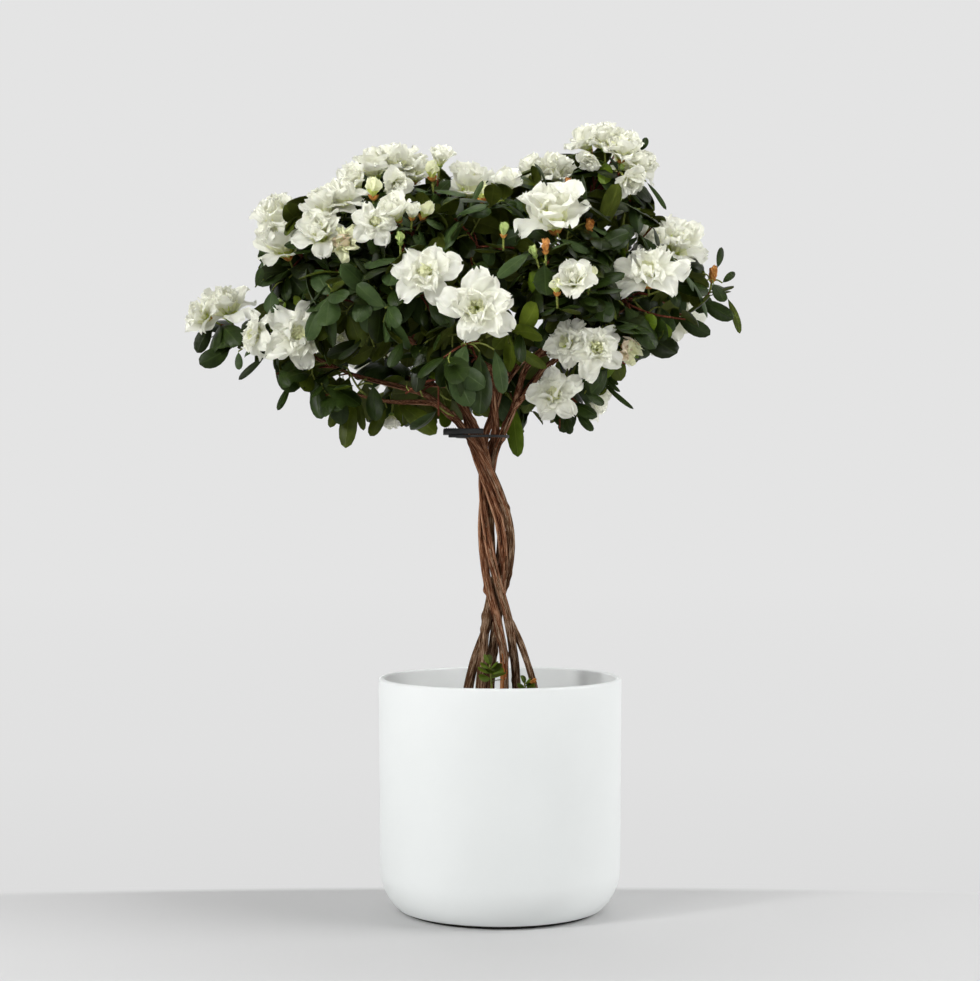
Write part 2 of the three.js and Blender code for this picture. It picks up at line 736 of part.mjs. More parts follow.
function growMass(mass, seed, footing, limbs) {
  const growth = new Growth(seed);
  const centre = centreOf(mass);
  const { hub, bend } = mainStem(mass, footing);
  const path = [footing.start, bend, hub];
  const pieces = [limb(path, path.map(() => TWIG.stemRadius), 3, footing.way)];
  const blades = [];
  const flowerWays = mass.flowers.map(([bearing, lift]) => wayFrom(bearing, lift));
  const shoots = [];
  mass.flowers.forEach(([, , width], k) => {
    const facing = flowerWays[k];
    const spin = growth.between(0, 72);
    const shares = [1, 0.9, 0.8, 0.7, 0.6, 0.5];
    const tries = shares.flatMap((share) => [0.62, 0.5, 0.38].map((out) => [share, out]));
    const grown = tries.map(([share, out]) => {
      const base = centre.clone().addScaledVector(facing, mass.reach * out - width * share * 0.42);
      return { base, bloom: flower(base, facing, width * share, spin) };
    });
    const fitting = grown.filter(({ bloom }) => fits(mass, bloom, limbs, 2));
    const best = fitting.find(({ bloom }) => !crosses(bloom, blades)) ?? fitting[0];
    if (best) {
      const leaves = mass.flowers.length > 2 ? 2 : 3;
      blades.push(best.bloom);
      shoots.push([best.base.clone().addScaledVector(facing, 2.2), facing, leaves]);
    }
  });
  shootWays(mass, flowerWays, mass.shoots, growth).forEach((way) => {
    for (const share of [0.56, 0.46, 0.36]) {
      const tip = centre.clone().addScaledVector(way, mass.reach * share);
      if (inSpace(mass, tip, 4) && !nearLimb(tip, limbs, 4)) {
        shoots.push([tip, way, 4]);
        break;
      }
    }
  });
  shoots.forEach(([tip, way, count], k) => {
    const from = along(hub, bend, Math.min(0.9, k * 0.14));
    const twig = limb([from, tip], [TWIG.rootRadius, TWIG.tipRadius], 3);
    pieces.push(twig);
    growWhorl(mass, from, tip, way, count, growth, limbs, blades);
  });
  return joined([...pieces, ...blades]);
}

// ---------------------------------------------------------------- clip and basal shoots

// A small spring clip holds the six stems together just under the crown.
function stemClip(paths) {
  const around = [];
  for (const { path, radii } of paths) {
    path.forEach((p, i) => {
      if (p.z > 384 && p.z < 402) {
        around.push([p.x, p.y, radii[i]]);
      }
    });
  }
  const middle = [
    (Math.min(...around.map((a) => a[0])) + Math.max(...around.map((a) => a[0]))) / 2,
    (Math.min(...around.map((a) => a[1])) + Math.max(...around.map((a) => a[1]))) / 2,
  ];
  const reaches = around.map(([x, y, r]) => Math.hypot(x - middle[0], y - middle[1]) + r);
  const reach = Math.max(...reaches) + 1.4;
  const ring = [];
  const sides = 16;
  const section = [[reach, 389.4], [reach + 1.8, 389.4], [reach + 1.8, 393.4], [reach, 393.4]];
  for (let k = 0; k < sides; k += 1) {
    const a = (2 * Math.PI * k) / sides;
    for (const [r, z] of section) {
      ring.push(at(middle[0] + r * Math.cos(a), middle[1] + r * Math.sin(a), z));
    }
  }
  const faces = [];
  for (let k = 0; k < sides; k += 1) {
    const j = (k + 1) % sides;
    for (let i = 0; i < 4; i += 1) {
      const h = (i + 1) % 4;
      faces.push([4 * k + i, 4 * j + i, 4 * j + h], [4 * k + i, 4 * j + h, 4 * k + h]);
    }
  }
  const left = middle[0] - reach;
  return joined([
    solid(ring, faces),
    box([left - 15, middle[1] - 3, 391.6], [left + 0.2, middle[1] + 2.4, 395.8]),
    box([left - 10, middle[1] - 2, 387.6], [left + 0.2, middle[1] + 1.8, 390.4]),
  ]);
}

const SPRIGS = [
  { name: 'basal_shoot_left', foot: [-8, -27], top: [-12, -28, 205], leaves: 8, length: 18 },
  { name: 'basal_shoot_right', foot: [20, -16], top: [20, -19, 184], leaves: 5, length: 15 },
];

function sprig({ foot, top, leaves, length }, index) {
  const growth = new Growth(900 + index);
  const root = at(foot[0], foot[1], SOIL_TOP + GAP);
  const tip = at(...top);
  const pieces = [limb([root, along(root, tip, 0.5), tip], [1.1, 0.9, 0.7], 5, at(0, 0, 1))];
  for (let k = 0; k < leaves; k += 1) {
    const a = turn(-90 + 137.5 * k);
    const out = at(Math.cos(a), Math.sin(a) * 0.8 - 0.5, growth.between(0.1, 0.7)).normalize();
    const place = along(root, tip, 0.4 + (0.6 * k) / (leaves - 1)).addScaledVector(out, -LEAF.sunk);
    pieces.push(leaf(place, out, at(0, 0, 1), length * growth.between(0.75, 1)));
  }
  return joined(pieces);
}

// ---------------------------------------------------------------- the whole plant

const LOOKS = {
  pot: { color: 0xefefee, roughness: 0.6 },
  soil: { color: 0x3a2a20, roughness: 1 },
  stem: { color: 0x7a5140, roughness: 0.85 },
  clip: { color: 0x1d1d1f, roughness: 0.5 },
  shoot: { color: 0x6f9a3c, roughness: 0.6 },
  mass: { color: 0x3f5f3a, roughness: 0.6 },
};

function node(name, look, { points, faces }) {
  const geometry = new THREE.BufferGeometry();
  const flat = points.flatMap((p) => [p.x, p.y, p.z]);
  geometry.setAttribute('position', new THREE.Float32BufferAttribute(flat, 3));
  geometry.setIndex(faces.flat());
  geometry.computeVertexNormals();
  const mesh = new THREE.Mesh(geometry, new THREE.MeshStandardMaterial({ ...LOOKS[look], metalness: 0 }));
  mesh.name = name;
  return mesh;
}

function capsules(path, radii) {
  return path.slice(1).map((to, i) => ({ from: path[i], to, radius: Math.max(radii[i], radii[i + 1]) }));
}

const plant = new THREE.Group();
plant.name = 'standard_azalea';
plant.add(node('pot', 'pot', pot()), node('soil', 'soil', soil()));

const stems = stemPaths();
const limbs = [];
stems.forEach(({ path, radii }, k) => {
  plant.add(node(STEMS[k].name, 'stem', limb(path, radii, TRUNK.sides, at(0, 0, 1))));
  limbs.push(...capsules(path, radii));
});
plant.add(node('stem_clip', 'clip', stemClip(stems)));
SPRIGS.forEach((row, k) => plant.add(node(row.name, 'shoot', sprig(row, k))));

const boughs = [];
stems.forEach(({ tip, direction }, k) => {
  const own = BOUGHS.filter((bough) => bough.stem === k);
  const starts = forkStarts(tip, direction, own.map((bough) => at(...bough.tip)), BOUGH.rootRadius);
  own.forEach((bough, i) => {
    const path = arch(starts[i], tip, direction, at(...bough.tip), bough.rise, BOUGH.steps);
    const radii = taper(BOUGH.rootRadius, BOUGH.tipRadius, path.length);
    const end = path[path.length - 1];
    const way = end.clone().sub(path[path.length - 2]).normalize();
    boughs[BOUGHS.indexOf(bough)] = { end, way };
    plant.add(node(bough.name, 'stem', limb(path, radii, BOUGH.sides, direction)));
    limbs.push(...capsules(path, radii));
  });
});

// Every mass's own stem is placed first, so that the leaves of all masses keep off them.
const footings = [];
boughs.forEach(({ end, way }, b) => {
  const own = MASSES.filter((mass) => mass.bough === b);
  const starts = forkStarts(end, way, own.map(centreOf), TWIG.stemRadius);
  own.forEach((mass, i) => {
    const apart = starts[i].clone().sub(end).addScaledVector(way, -GAP);
    footings[MASSES.indexOf(mass)] = { start: starts[i], way, apart };
  });
});
const massStems = MASSES.map((mass, i) => {
  const { hub, bend } = mainStem(mass, footings[i]);
  return capsules([footings[i].start, bend, hub], [TWIG.stemRadius, TWIG.stemRadius, TWIG.stemRadius]);
});
MASSES.forEach((mass, i) => {
  const others = massStems.filter((_, k) => k !== i).flat();
  const clear = [...limbs, ...others];
  let seed = 4100 + 97 * i;
  let grown = growMass(mass, seed, footings[i], clear);
  for (let again = 1; again < 6 && !sound(grown); again += 1) {
    seed += 13;
    grown = growMass(mass, seed, footings[i], clear);
  }
  plant.add(node(mass.name, 'mass', grown));
});

export default plant;
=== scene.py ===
import math

import bpy
import numpy as np
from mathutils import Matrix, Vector


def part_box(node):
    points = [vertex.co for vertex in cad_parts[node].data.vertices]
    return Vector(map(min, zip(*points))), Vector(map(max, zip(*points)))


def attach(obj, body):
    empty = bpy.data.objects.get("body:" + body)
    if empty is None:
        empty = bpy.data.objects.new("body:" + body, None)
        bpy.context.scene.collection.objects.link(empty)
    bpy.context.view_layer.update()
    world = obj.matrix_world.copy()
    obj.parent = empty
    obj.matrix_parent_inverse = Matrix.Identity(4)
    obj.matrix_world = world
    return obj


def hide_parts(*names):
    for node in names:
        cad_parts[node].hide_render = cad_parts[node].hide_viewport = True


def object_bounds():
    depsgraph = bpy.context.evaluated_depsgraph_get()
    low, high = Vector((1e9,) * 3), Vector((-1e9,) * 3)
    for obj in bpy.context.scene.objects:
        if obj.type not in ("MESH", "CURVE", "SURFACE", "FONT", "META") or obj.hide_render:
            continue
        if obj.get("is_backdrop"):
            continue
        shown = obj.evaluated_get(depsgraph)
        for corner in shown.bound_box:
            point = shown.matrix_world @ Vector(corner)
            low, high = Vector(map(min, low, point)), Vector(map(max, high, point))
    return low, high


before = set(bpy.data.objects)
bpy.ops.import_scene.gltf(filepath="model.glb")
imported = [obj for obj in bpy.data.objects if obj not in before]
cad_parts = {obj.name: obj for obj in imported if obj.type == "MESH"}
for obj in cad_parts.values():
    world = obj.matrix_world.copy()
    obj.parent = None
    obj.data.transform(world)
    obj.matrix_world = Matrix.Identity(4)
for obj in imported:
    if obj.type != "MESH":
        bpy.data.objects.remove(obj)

CAD_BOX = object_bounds()
MM = 0.001

# ---------------------------------------------------------------- the plant's build

# The order of the finishes on barked, leafy and flowering pieces.
OLD_BARK, RED_BARK, PEELED_BARK, YOUNG_BARK, GREEN_BARK = range(5)
# The grey-green leaf face is partly the leaves' own tone, partly painted sheen.
DARK_LEAF, DEEP_LEAF, GREY_PAINTED_SHEEN_LEAF, OLIVE_LEAF, FRESH_LEAF, DULL_BACK, PALE_BACK = range(7)
WHITE, CREAM, THROAT, WITHERED, CUP, SCALE, GREEN_BUD = range(7)

# Each stem's boughs, and the masses that each bough carries. Their places are read from the frame.
PLANT = {
    "stem_left_outer": {"long_left": ("left_spray", "left_low"), "low_left": ("left_under",)},
    "stem_left_front": {
        "upper_left": ("left_high", "front_left_high"),
        "back_left": ("back_left", "back_left_high"),
        "top_left": ("top_left", "top_mid"),
    },
    "stem_left_back": {"low_back_left": ("back_left_low",), "back": ("back_mid", "back_low")},
    "stem_right_front": {
        "low_front": ("front_low", "front_left_low"),
        "front": ("front_mid", "front_left_mid"),
        "upper_front": ("front_top_left", "front_centre_high"),
    },
    "stem_right_back": {
        "top": ("top_mid_right", "back_high"),
        "top_right": ("top_right_back", "top_right_peak"),
        "back_right": ("back_right", "back_right_side"),
    },
    "stem_right_outer": {
        "low_right": ("low_right", "front_right_low"),
        "front_right": ("right_front", "front_right_mid", "front_right_high"),
        "right": ("right_high", "right_spray", "right_shoulder"),
    },
}
CROWN_HEART = np.array([-22.0, -5.0, 470.0])

# Every flower and bud of a mass: its middle, its bearing from the front towards +X, its lift above
# level, its width and its stage. Nearly all of these rows began as another program's output, copied here,
# which a script should not do: the report's open failures say so. Of the 78 middles 45 still stand as
# printed, 37 of them with their widths, and the others were changed later.
FLOWERS = {
    "left_spray": [
        ((-223, -17, 497), -25, 62, 44, "cup"),
        ((-243, -28, 487), -55, 20, 30, "cup"),
    ],
    "left_low": [
        ((-193, -67, 468), -58, 8, 40, "full"),
        ((-160, -70, 465), 10, 26, 56, "full"),
        ((-131, -10, 470), 10, -10, 28, "full"),
    ],
    "left_under": [((-89, -20, 402), -20, -75, 15, "half")],
    "left_high": [
        ((-175, -44, 545), -24, 50, 48, "cup"),
        ((-182, -38, 567), -35, 60, 42, "cup"),
        ((-161, -34, 568), 25, 62, 30, "cup"),
    ],
    "front_left_high": [
        ((-141, -92, 547), -12, 40, 35, "cup"),
        ((-139, -78, 568), -22, 66, 38, "cup"),
        ((-124, -74, 576), 10, 70, 35, "cup"),
        ((-121, -96, 538), -30, 5, 26, "spent"),
    ],
    "front_top_left": [
        ((-98, -118, 549), 24, 20, 35, "full"),
        ((-99, -96, 580), 5, 72, 12, "bud"),
        ((-81, -88, 585), 10, -20, 23, "half"),
        ((-82, -112, 561), -30, 45, 28, "half"),
        ((-68, -114, 559), 10, 60, 15, "half"),
        ((-58, -108, 561), 45, 55, 11, "bud"),
        ((-77, -118, 539), 0, 80, 8, "green"),
    ],
    "top_left": [
        ((-117, -52, 594), -30, 50, 28, "half"),
        ((-102, -36, 608), -20, 68, 38, "cup"),
        ((-85, -30, 612), 0, 72, 38, "cup"),
        ((-69, -22, 606), 30, 68, 34, "cup"),
        ((-88, 18, 600), 165, 40, 36, "full"),
    ],
    "top_mid": [
        ((-48, -44, 613), 15, 60, 21, "half"),
        ((-55, -56, 600), -10, 65, 11, "bud"),
        ((-25, -26, 594), 10, 64, 42, "cup"),
    ],
    "front_mid": [((-56, -150, 507), -10, 20, 50, "full")],
    "front_low": [((-18, -180, 478), 4, 8, 56, "full")],
    "front_centre_high": [((2, -132, 543), 5, 78, 8, "green")],
    "top_mid_right": [
        ((-15, -64, 582), -10, 75, 11, "bud"),
        ((5, -54, 591), 8, 62, 24, "half"),
        ((54, -60, 589), 10, 80, 7, "scale"),
    ],
    "top_right_back": [
        ((27, 10, 608), -30, 58, 36, "cup"),
        ((46, 18, 612), 10, 62, 34, "cup"),
        ((62, 30, 606), 35, 45, 30, "cup"),
        ((48, 66, 605), 170, 24, 43, "full"),
    ],
    "top_right_peak": [
        ((69, -12, 631), -60, 50, 25, "half"),
        ((85, -18, 632), -10, 66, 30, "cup"),
        ((100, -22, 624), 15, 55, 36, "cup"),
        ((115, -16, 611), 60, 40, 32, "cup"),
        ((105, -30, 596), 25, -30, 23, "half"),
        ((72, -26, 614), -10, -35, 18, "half"),
        ((93, -56, 577), 10, 75, 8, "green"),
        ((102, 20, 616), 150, 24, 37, "full"),
    ],
    "front_right_high": [
        ((41, -112, 560), -8, 58, 54, "cup"),
        ((34, -128, 531), -10, 80, 8, "scale"),
        ((25, -128, 527), -40, 60, 7, "green"),
        ((69, -96, 551), 20, 78, 8, "scale"),
    ],
    "front_right_mid": [
        ((55, -138, 505), -10, 25, 28, "half"),
        ((68, -132, 510), 20, 75, 9, "bud"),
        ((42, -138, 499), -20, 82, 9, "bud"),
    ],
    "right_front": [((115, -92, 514), -6, 46, 60, "full")],
    "right_high": [
        ((123, -42, 545), -15, 50, 29, "half"),
        ((145, -24, 547), 28, 50, 44, "cup"),
        ((154, 4, 546), 125, 16, 38, "full"),
    ],
    "right_spray": [((176, -2, 524), 30, 70, 10, "scale")],
    "right_shoulder": [((101, -70, 549), 10, 80, 8, "scale")],
    "front_right_low": [
        ((52, -112, 458), -38, 18, 40, "full"),
        ((72, -122, 453), 10, 6, 42, "full"),
        ((100, -100, 454), 45, -25, 24, "spent"),
    ],
    "low_right": [
        ((42, -104, 418), -18, 14, 44, "full"),
        ((76, -70, 419), 60, -15, 26, "half"),
    ],
    "back_left": [
        ((-172, 98, 512), -150, 12, 52, "full"),
        ((-188, 88, 493), -108, -8, 45, "full"),
    ],
    "back_left_high": [
        ((-112, 88, 585), -170, 30, 50, "full"),
        ((-134, 84, 566), -135, 5, 40, "full"),
    ],
    "back_left_low": [((-109, 142, 457), -155, 0, 52, "full")],
    "back_mid": [
        ((-32, 156, 527), 175, 15, 56, "full"),
        ((-54, 154, 505), -148, -12, 45, "full"),
    ],
    "back_low": [((15, 142, 441), 168, 2, 50, "full")],
    "back_high": [
        ((-14, 84, 600), 180, 42, 49, "full"),
        ((0, 92, 579), 165, 10, 38, "half"),
    ],
    "back_right": [
        ((84, 146, 522), 165, 20, 54, "full"),
        ((94, 144, 500), 148, -15, 43, "full"),
    ],
    "back_right_side": [
        ((157, 84, 506), 118, 10, 49, "full"),
        ((144, 94, 489), 150, -20, 40, "half"),
    ],
}

# The crown's outline as the front eye sees it, across and up, in the plane of the pot's axis.
FRONT_EYE = np.array([-8.3, -1652.0, 345.0])
OUTLINE = np.array([
    (-254, 486), (-252, 462), (-243, 449), (-226, 454), (-213, 438), (-196, 450), (-187, 446), (-181, 415),
    (-172, 428), (-158, 426), (-148, 406), (-142, 398), (-128, 383), (-117, 395), (-114, 408), (-106, 393),
    (-96, 401), (-86, 394), (-69, 395), (-53, 395), (-38, 399), (-20, 405), (4, 396), (12, 375), (20, 392),
    (26, 399), (53, 393), (75, 395), (86, 412), (104, 410), (94, 428), (86, 440), (116, 452), (140, 458),
    (142, 474), (150, 488), (168, 470), (164, 487), (182, 484), (200, 478), (196, 500), (194, 524),
    (182, 544),
    (175, 527), (163, 534), (161, 550), (142, 564), (139, 580), (121, 600), (124, 610), (121, 635), (96, 648),
    (82, 649), (60, 637), (49, 626), (36, 623), (20, 611), (4, 604), (-6, 600), (-22, 607), (-39, 611),
    (-49, 624), (-66, 624), (-82, 630), (-102, 631), (-118, 624), (-116, 610), (-132, 600), (-146, 594),
    (-156, 590), (-172, 590), (-192, 593), (-202, 587), (-198, 574), (-202, 553), (-199, 530), (-203, 512),
    (-190, 518), (-188, 501), (-214, 500), (-218, 514), (-247, 511),
], float)

# Leaves that stand alone in front or at the crown's edge: foot, tip, width and face. All but four of these
# rows were printed by another program too. The olive faces low at the left are partly painted light shining
# through those leaves from behind.
SINGLE_LEAVES = [
    ((-126, -40, 423), (-136, -50, 397), 10, OLIVE_LEAF),
    ((-119, -45, 423), (-125, -52, 382), 15, OLIVE_LEAF),
    ((-114, -38, 420), (-113, -40, 395), 7, OLIVE_LEAF),
    ((-148, -60, 433), (-143, -66, 403), 15, DEEP_LEAF),
    ((-102, -50, 430), (-101, -58, 402), 15, DEEP_LEAF),
    ((-92, -30, 412), (-105, -34, 391), 11, OLIVE_LEAF),
    ((-84, -30, 416), (-52, -45, 394), 17, OLIVE_LEAF),
    ((-45, 10, 415), (-44, 6, 398), 11, FRESH_LEAF),
    ((-169, -40, 431), (-177, -46, 410), 6, DEEP_LEAF),
    ((-187, -60, 452), (-206, -66, 434), 6, DARK_LEAF),
    ((-180, -50, 453), (-178, -52, 429), 4, DARK_LEAF),
    ((-218, -30, 461), (-240, -36, 446), 15, DEEP_LEAF),
    ((-211, -40, 457), (-210, -44, 443), 7, GREY_PAINTED_SHEEN_LEAF),
    ((-234, -25, 482), (-246, -30, 459), 14, DARK_LEAF),
    ((-195, -60, 507), (-189, -66, 520), 8, DEEP_LEAF),
    ((-182, -55, 505), (-185, -60, 487), 13, GREY_PAINTED_SHEEN_LEAF),
    ((128, -50, 492), (139, -56, 473), 12, GREY_PAINTED_SHEEN_LEAF),
    ((144, -20, 487), (167, -24, 470), 13, DEEP_LEAF),
    ((164, -8, 503), (186, -14, 483), 15, DEEP_LEAF),
    ((187, -4, 504), (199, -8, 477), 8, OLIVE_LEAF),
    ((175, -10, 515), (181, -20, 499), 11, DEEP_LEAF),
    ((183, -4, 516), (192, -8, 524), 7, DEEP_LEAF),
    ((179, -2, 528), (184, 2, 544), 7, DEEP_LEAF),
    ((167, -4, 524), (156, -8, 530), 7, DEEP_LEAF),
    ((168, -10, 516), (155, -16, 515), 7, OLIVE_LEAF),
    ((95, -100, 489), (120, -104, 458), 22, DEEP_LEAF),
    ((110, -80, 471), (133, -86, 450), 20, DARK_LEAF),
    ((84, -90, 455), (95, -94, 433), 14, OLIVE_LEAF),
    ((78, -84, 436), (91, -90, 422), 5, DEEP_LEAF),
    ((78, -84, 432), (99, -92, 407), 4, DEEP_LEAF),
    ((81, -84, 437), (91, -90, 428), 5, DEEP_LEAF),
    ((65, -104, 420), (79, -112, 412), 8, DEEP_LEAF),
    ((59, -90, 406), (71, -96, 392), 8, DEEP_LEAF),
    ((142, -40, 531), (154, -46, 510), 13, DARK_LEAF),
    ((119, -20, 597), (136, -26, 575), 7, DEEP_LEAF),
    ((115, -12, 623), (120, -14, 633), 7, DEEP_LEAF),
    ((10, 30, 421), (12, 24, 376), 14, FRESH_LEAF),
    ((-16, -140, 450), (-14, -150, 405), 22, DEEP_LEAF),
    ((-5, -146, 451), (4, -152, 420), 12, GREY_PAINTED_SHEEN_LEAF),
    ((-37, -130, 454), (-46, -138, 425), 14, DEEP_LEAF),
    ((6, -120, 458), (31, -128, 437), 9, OLIVE_LEAF),
    ((-26, -150, 454), (-33, -158, 437), 14, GREY_PAINTED_SHEEN_LEAF),
    ((-58, -120, 458), (-66, -122, 423), 13, DARK_LEAF),
    ((23, -126, 527), (-1, -140, 507), 12, GREY_PAINTED_SHEEN_LEAF),
    ((33, -128, 518), (33, -136, 494), 19, DEEP_LEAF),
    ((45, -112, 539), (65, -122, 527), 10, GREY_PAINTED_SHEEN_LEAF),
    ((-75, -120, 460), (-84, -128, 440), 11, DEEP_LEAF),
    ((51, -80, 404), (54, -84, 390), 9, DEEP_LEAF),
    ((-50, -110, 452), (-56, -112, 433), 11, DARK_LEAF),
    ((2, 22, 508), (16, 12, 530), 16, DARK_LEAF),
    ((16, 24, 532), (7, 14, 506), 15, DARK_LEAF),
    ((12, 24, 478), (26, 12, 502), 16, DARK_LEAF),
    ((32, 20, 504), (15, 10, 486), 14, DEEP_LEAF),
]

# Where the forking boughs show: nothing grows in front of them here, seen as the outline is.
OPENINGS = [
    np.array([(-134, 448), (-83, 446), (-50, 430), (-44, 424), (-25, 410), (-22, 390), (-48, 380), (-50, 406),
              (-90, 424), (-134, 436)], float),
    np.array([(-9, 398), (-7, 424), (0, 436), (17, 444), (36, 459), (46, 456), (30, 436), (18, 420),
              (10, 392)], float),
]

# Masses with room between their leaves, and how many leafy shoots they have instead of the usual six.
LOOSE_MASSES = {"right_spray": 2, "left_under": 2, "left_spray": 3, "back_left_low": 4, "low_right": 4,
                "left_low": 4, "front_low": 4, "front_left_low": 4}

LEAF_LONG = 42
LEAF_WIDTH = 0.55
# Degrees from one leaf or shoot to the next.
LEAF_TURN = 137.5
PIECE_FACES = 92000

# ---------------------------------------------------------------- small helpers


class Growth:
    """The same seed always grows the same plant, here as in the part's source."""

    def __init__(self, seed):
        self.state = seed

    def next(self):
        self.state = (self.state * 1664525 + 1013904223) % 4294967296
        return self.state / 4294967296

    def between(self, low, high):
        return low + (high - low) * self.next()


def unit(vector):
    vector = np.asarray(vector, float)
    return vector / max(1e-9, np.linalg.norm(vector))


def way_from(bearing, lift):
    b, t = math.radians(bearing), math.radians(lift)
    return np.array([math.sin(b) * math.cos(t), -math.cos(b) * math.cos(t), math.sin(t)])


def within(outline, points):
    """Which points stand inside an outline that is seen from the front."""
    away = FRONT_EYE[1] / (FRONT_EYE[1] - points[:, 1])
    x = FRONT_EYE[0] + (points[:, 0] - FRONT_EYE[0]) * away
    z = FRONT_EYE[2] + (points[:, 2] - FRONT_EYE[2]) * away
    ax, az = outline.T
    bx, bz = np.roll(outline, -1, axis=0).T
    spans = (az[None] > z[:, None]) != (bz[None] > z[:, None])
    level = np.where(bz == az, 1.0, bz - az)
    meets = ax + (z[:, None] - az) / level * (bx - ax)
    return (spans & (x[:, None] < meets)).sum(axis=1) % 2 == 1


def cross_axes(direction):
    n = unit(direction)
    hint = np.array([1.0, 0, 0]) if abs(n[2]) > 0.97 else np.array([0, 0, 1.0])
    u = unit(hint - n * (n @ hint))
    return u, np.cross(n, u)


def grid_faces(rows, cols, closed=False):
    """Four-sided faces of a grid of points; a closed one runs round a tube."""
    row, col = np.meshgrid(np.arange(rows - 1), np.arange(cols if closed else cols - 1), indexing="ij")
    a = row * cols + col
    b = row * cols + (col + 1) % cols
    return np.stack([a, b, b + cols, a + cols], axis=-1).reshape(-1, 4)


def smooth_path(points, step):
    """A rounded line through the points, with a point every step."""
    points = np.asarray(points, float)
    ends = np.vstack([2 * points[0] - points[1], points, 2 * points[-1] - points[-2]])
    found = []
    for i in range(len(points) - 1):
        p, q, r, s = ends[i:i + 4]
        count = max(2, int(round(np.linalg.norm(r - q) / step)))
        t = np.linspace(0, 1, count, endpoint=False)[:, None]
        found.append(0.5 * (2 * q + (r - p) * t + (2 * p - 5 * q + 4 * r - s) * t**2
                            + (3 * q - p - 3 * r + s) * t**3))
    return np.vstack([*found, points[-1:]])


def put_in_scene(name, data):
    thing = bpy.data.objects.new(name, data)
    bpy.context.scene.collection.objects.link(thing)
    return thing


def box_mm(node):
    """The two far corners of a frame solid, in millimetres."""
    return [np.array(corner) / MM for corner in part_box(node)]


class Pile:
    """Sheets and tubes of one kind, gathered as arrays and joined into a few meshes."""

    def __init__(self):
        self.parts = []

    def add(self, points, faces, slots, marks):
        """Marks are each point's place across and along its sheet, from 0 to 1; crumbs have none."""
        self.parts.append((points, faces, np.broadcast_to(slots, len(faces)), marks))

    def batches(self):
        batch, count = [], 0
        for part in self.parts:
            if count + len(part[1]) > PIECE_FACES:
                yield batch
                batch, count = [], 0
            batch.append(part)
            count += len(part[1])
        yield batch

    def build(self, name, finishes, smooth=True):
        """Joins what was gathered into pieces that each stay under the face limit."""
        made = []
        for batch in self.batches():
            starts = np.cumsum([0] + [len(part[0]) for part in batch[:-1]])
            points = np.concatenate([part[0] for part in batch]) * MM
            faces = np.concatenate([part[1] + start for part, start in zip(batch, starts)])
            slots = np.concatenate([part[2] for part in batch])
            label = name if not made else f"{name}_{len(made) + 1}"
            mesh = bpy.data.meshes.new(label)
            mesh.from_pydata(points.tolist(), [], faces.tolist())
            for finish in finishes:
                mesh.materials.append(finish)
            mesh.polygons.foreach_set("material_index", slots.astype(np.int32))
            if smooth:
                mesh.shade_smooth()
                marks = np.concatenate([part[3] for part in batch])
                layer = mesh.uv_layers.new(name="sheet")
                layer.data.foreach_set("uv", marks[faces.ravel()].astype(np.float32).ravel())
            mesh.update()
            made.append(put_in_scene(label, mesh))
        return made


def grid_marks(rows, cols):
    along, across = np.meshgrid(np.linspace(0, 1, rows), np.linspace(0, 1, cols), indexing="ij")
    return np.stack([across, along], axis=-1).reshape(-1, 2)


def tube(path, radii, sides, relief=None):
    """Points of a tube round a path; relief is added to the radius, one value a point."""
    path = np.asarray(path, float)
    ways = np.gradient(path, axis=0)
    ways /= np.linalg.norm(ways, axis=1)[:, None]
    around = np.linspace(0, 2 * math.pi, sides, endpoint=False)
    u = cross_axes(ways[0])[0]
    rings = np.empty((len(path), sides, 3))
    for i, way in enumerate(ways):
        u = unit(u - way * (u @ way))
        v = np.cross(way, u)
        reach = np.full(sides, float(radii[i])) + (0 if relief is None else relief[i])
        rings[i] = path[i] + reach[:, None] * (np.cos(around)[:, None] * u + np.sin(around)[:, None] * v)
    return rings.reshape(-1, 3)


def add_tube(pile, path, radii, sides, slot, relief=None):
    points = tube(path, radii, sides, relief)
    pile.add(points, grid_faces(len(path), sides, closed=True), slot, grid_marks(len(path), sides))


# ---------------------------------------------------------------- finishes


def linear(code):
    """An sRGB hex colour as the linear values that the shader takes."""
    values = [int(code[i:i + 2], 16) / 255 for i in (1, 3, 5)]
    return [*(v / 12.92 if v <= 0.04045 else ((v + 0.055) / 1.055) ** 2.4 for v in values), 1.0]


def add_node(tree, kind, values=None, links=None, **settings):
    """One node, with its own settings, its inputs' values and the outputs that feed its inputs."""
    node = tree.nodes.new(kind)
    for name, value in settings.items():
        setattr(node, name, value)
    for name, value in (values or {}).items():
        node.inputs[name].default_value = value
    for name, source in (links or {}).items():
        tree.links.new(source, node.inputs[name])
    return node


def new_finish(name):
    finish = bpy.data.materials.new(name)
    finish.use_nodes = True
    finish.node_tree.nodes.clear()
    return finish, finish.node_tree


def mottled(tree, place, size_mm, first, second, low=0.35, high=0.65):
    """Two colours in soft patches of about that size."""
    noise = add_node(tree, "ShaderNodeTexNoise", {"Scale": 1 / (size_mm * MM), "Detail": 4.0},
                     {"Vector": place})
    ramp = add_node(tree, "ShaderNodeValToRGB", links={"Fac": noise.outputs["Fac"]})
    ramp.color_ramp.elements[0].position = low
    ramp.color_ramp.elements[0].color = linear(first)
    ramp.color_ramp.elements[1].position = high
    ramp.color_ramp.elements[1].color = linear(second)
    return ramp.outputs["Color"]


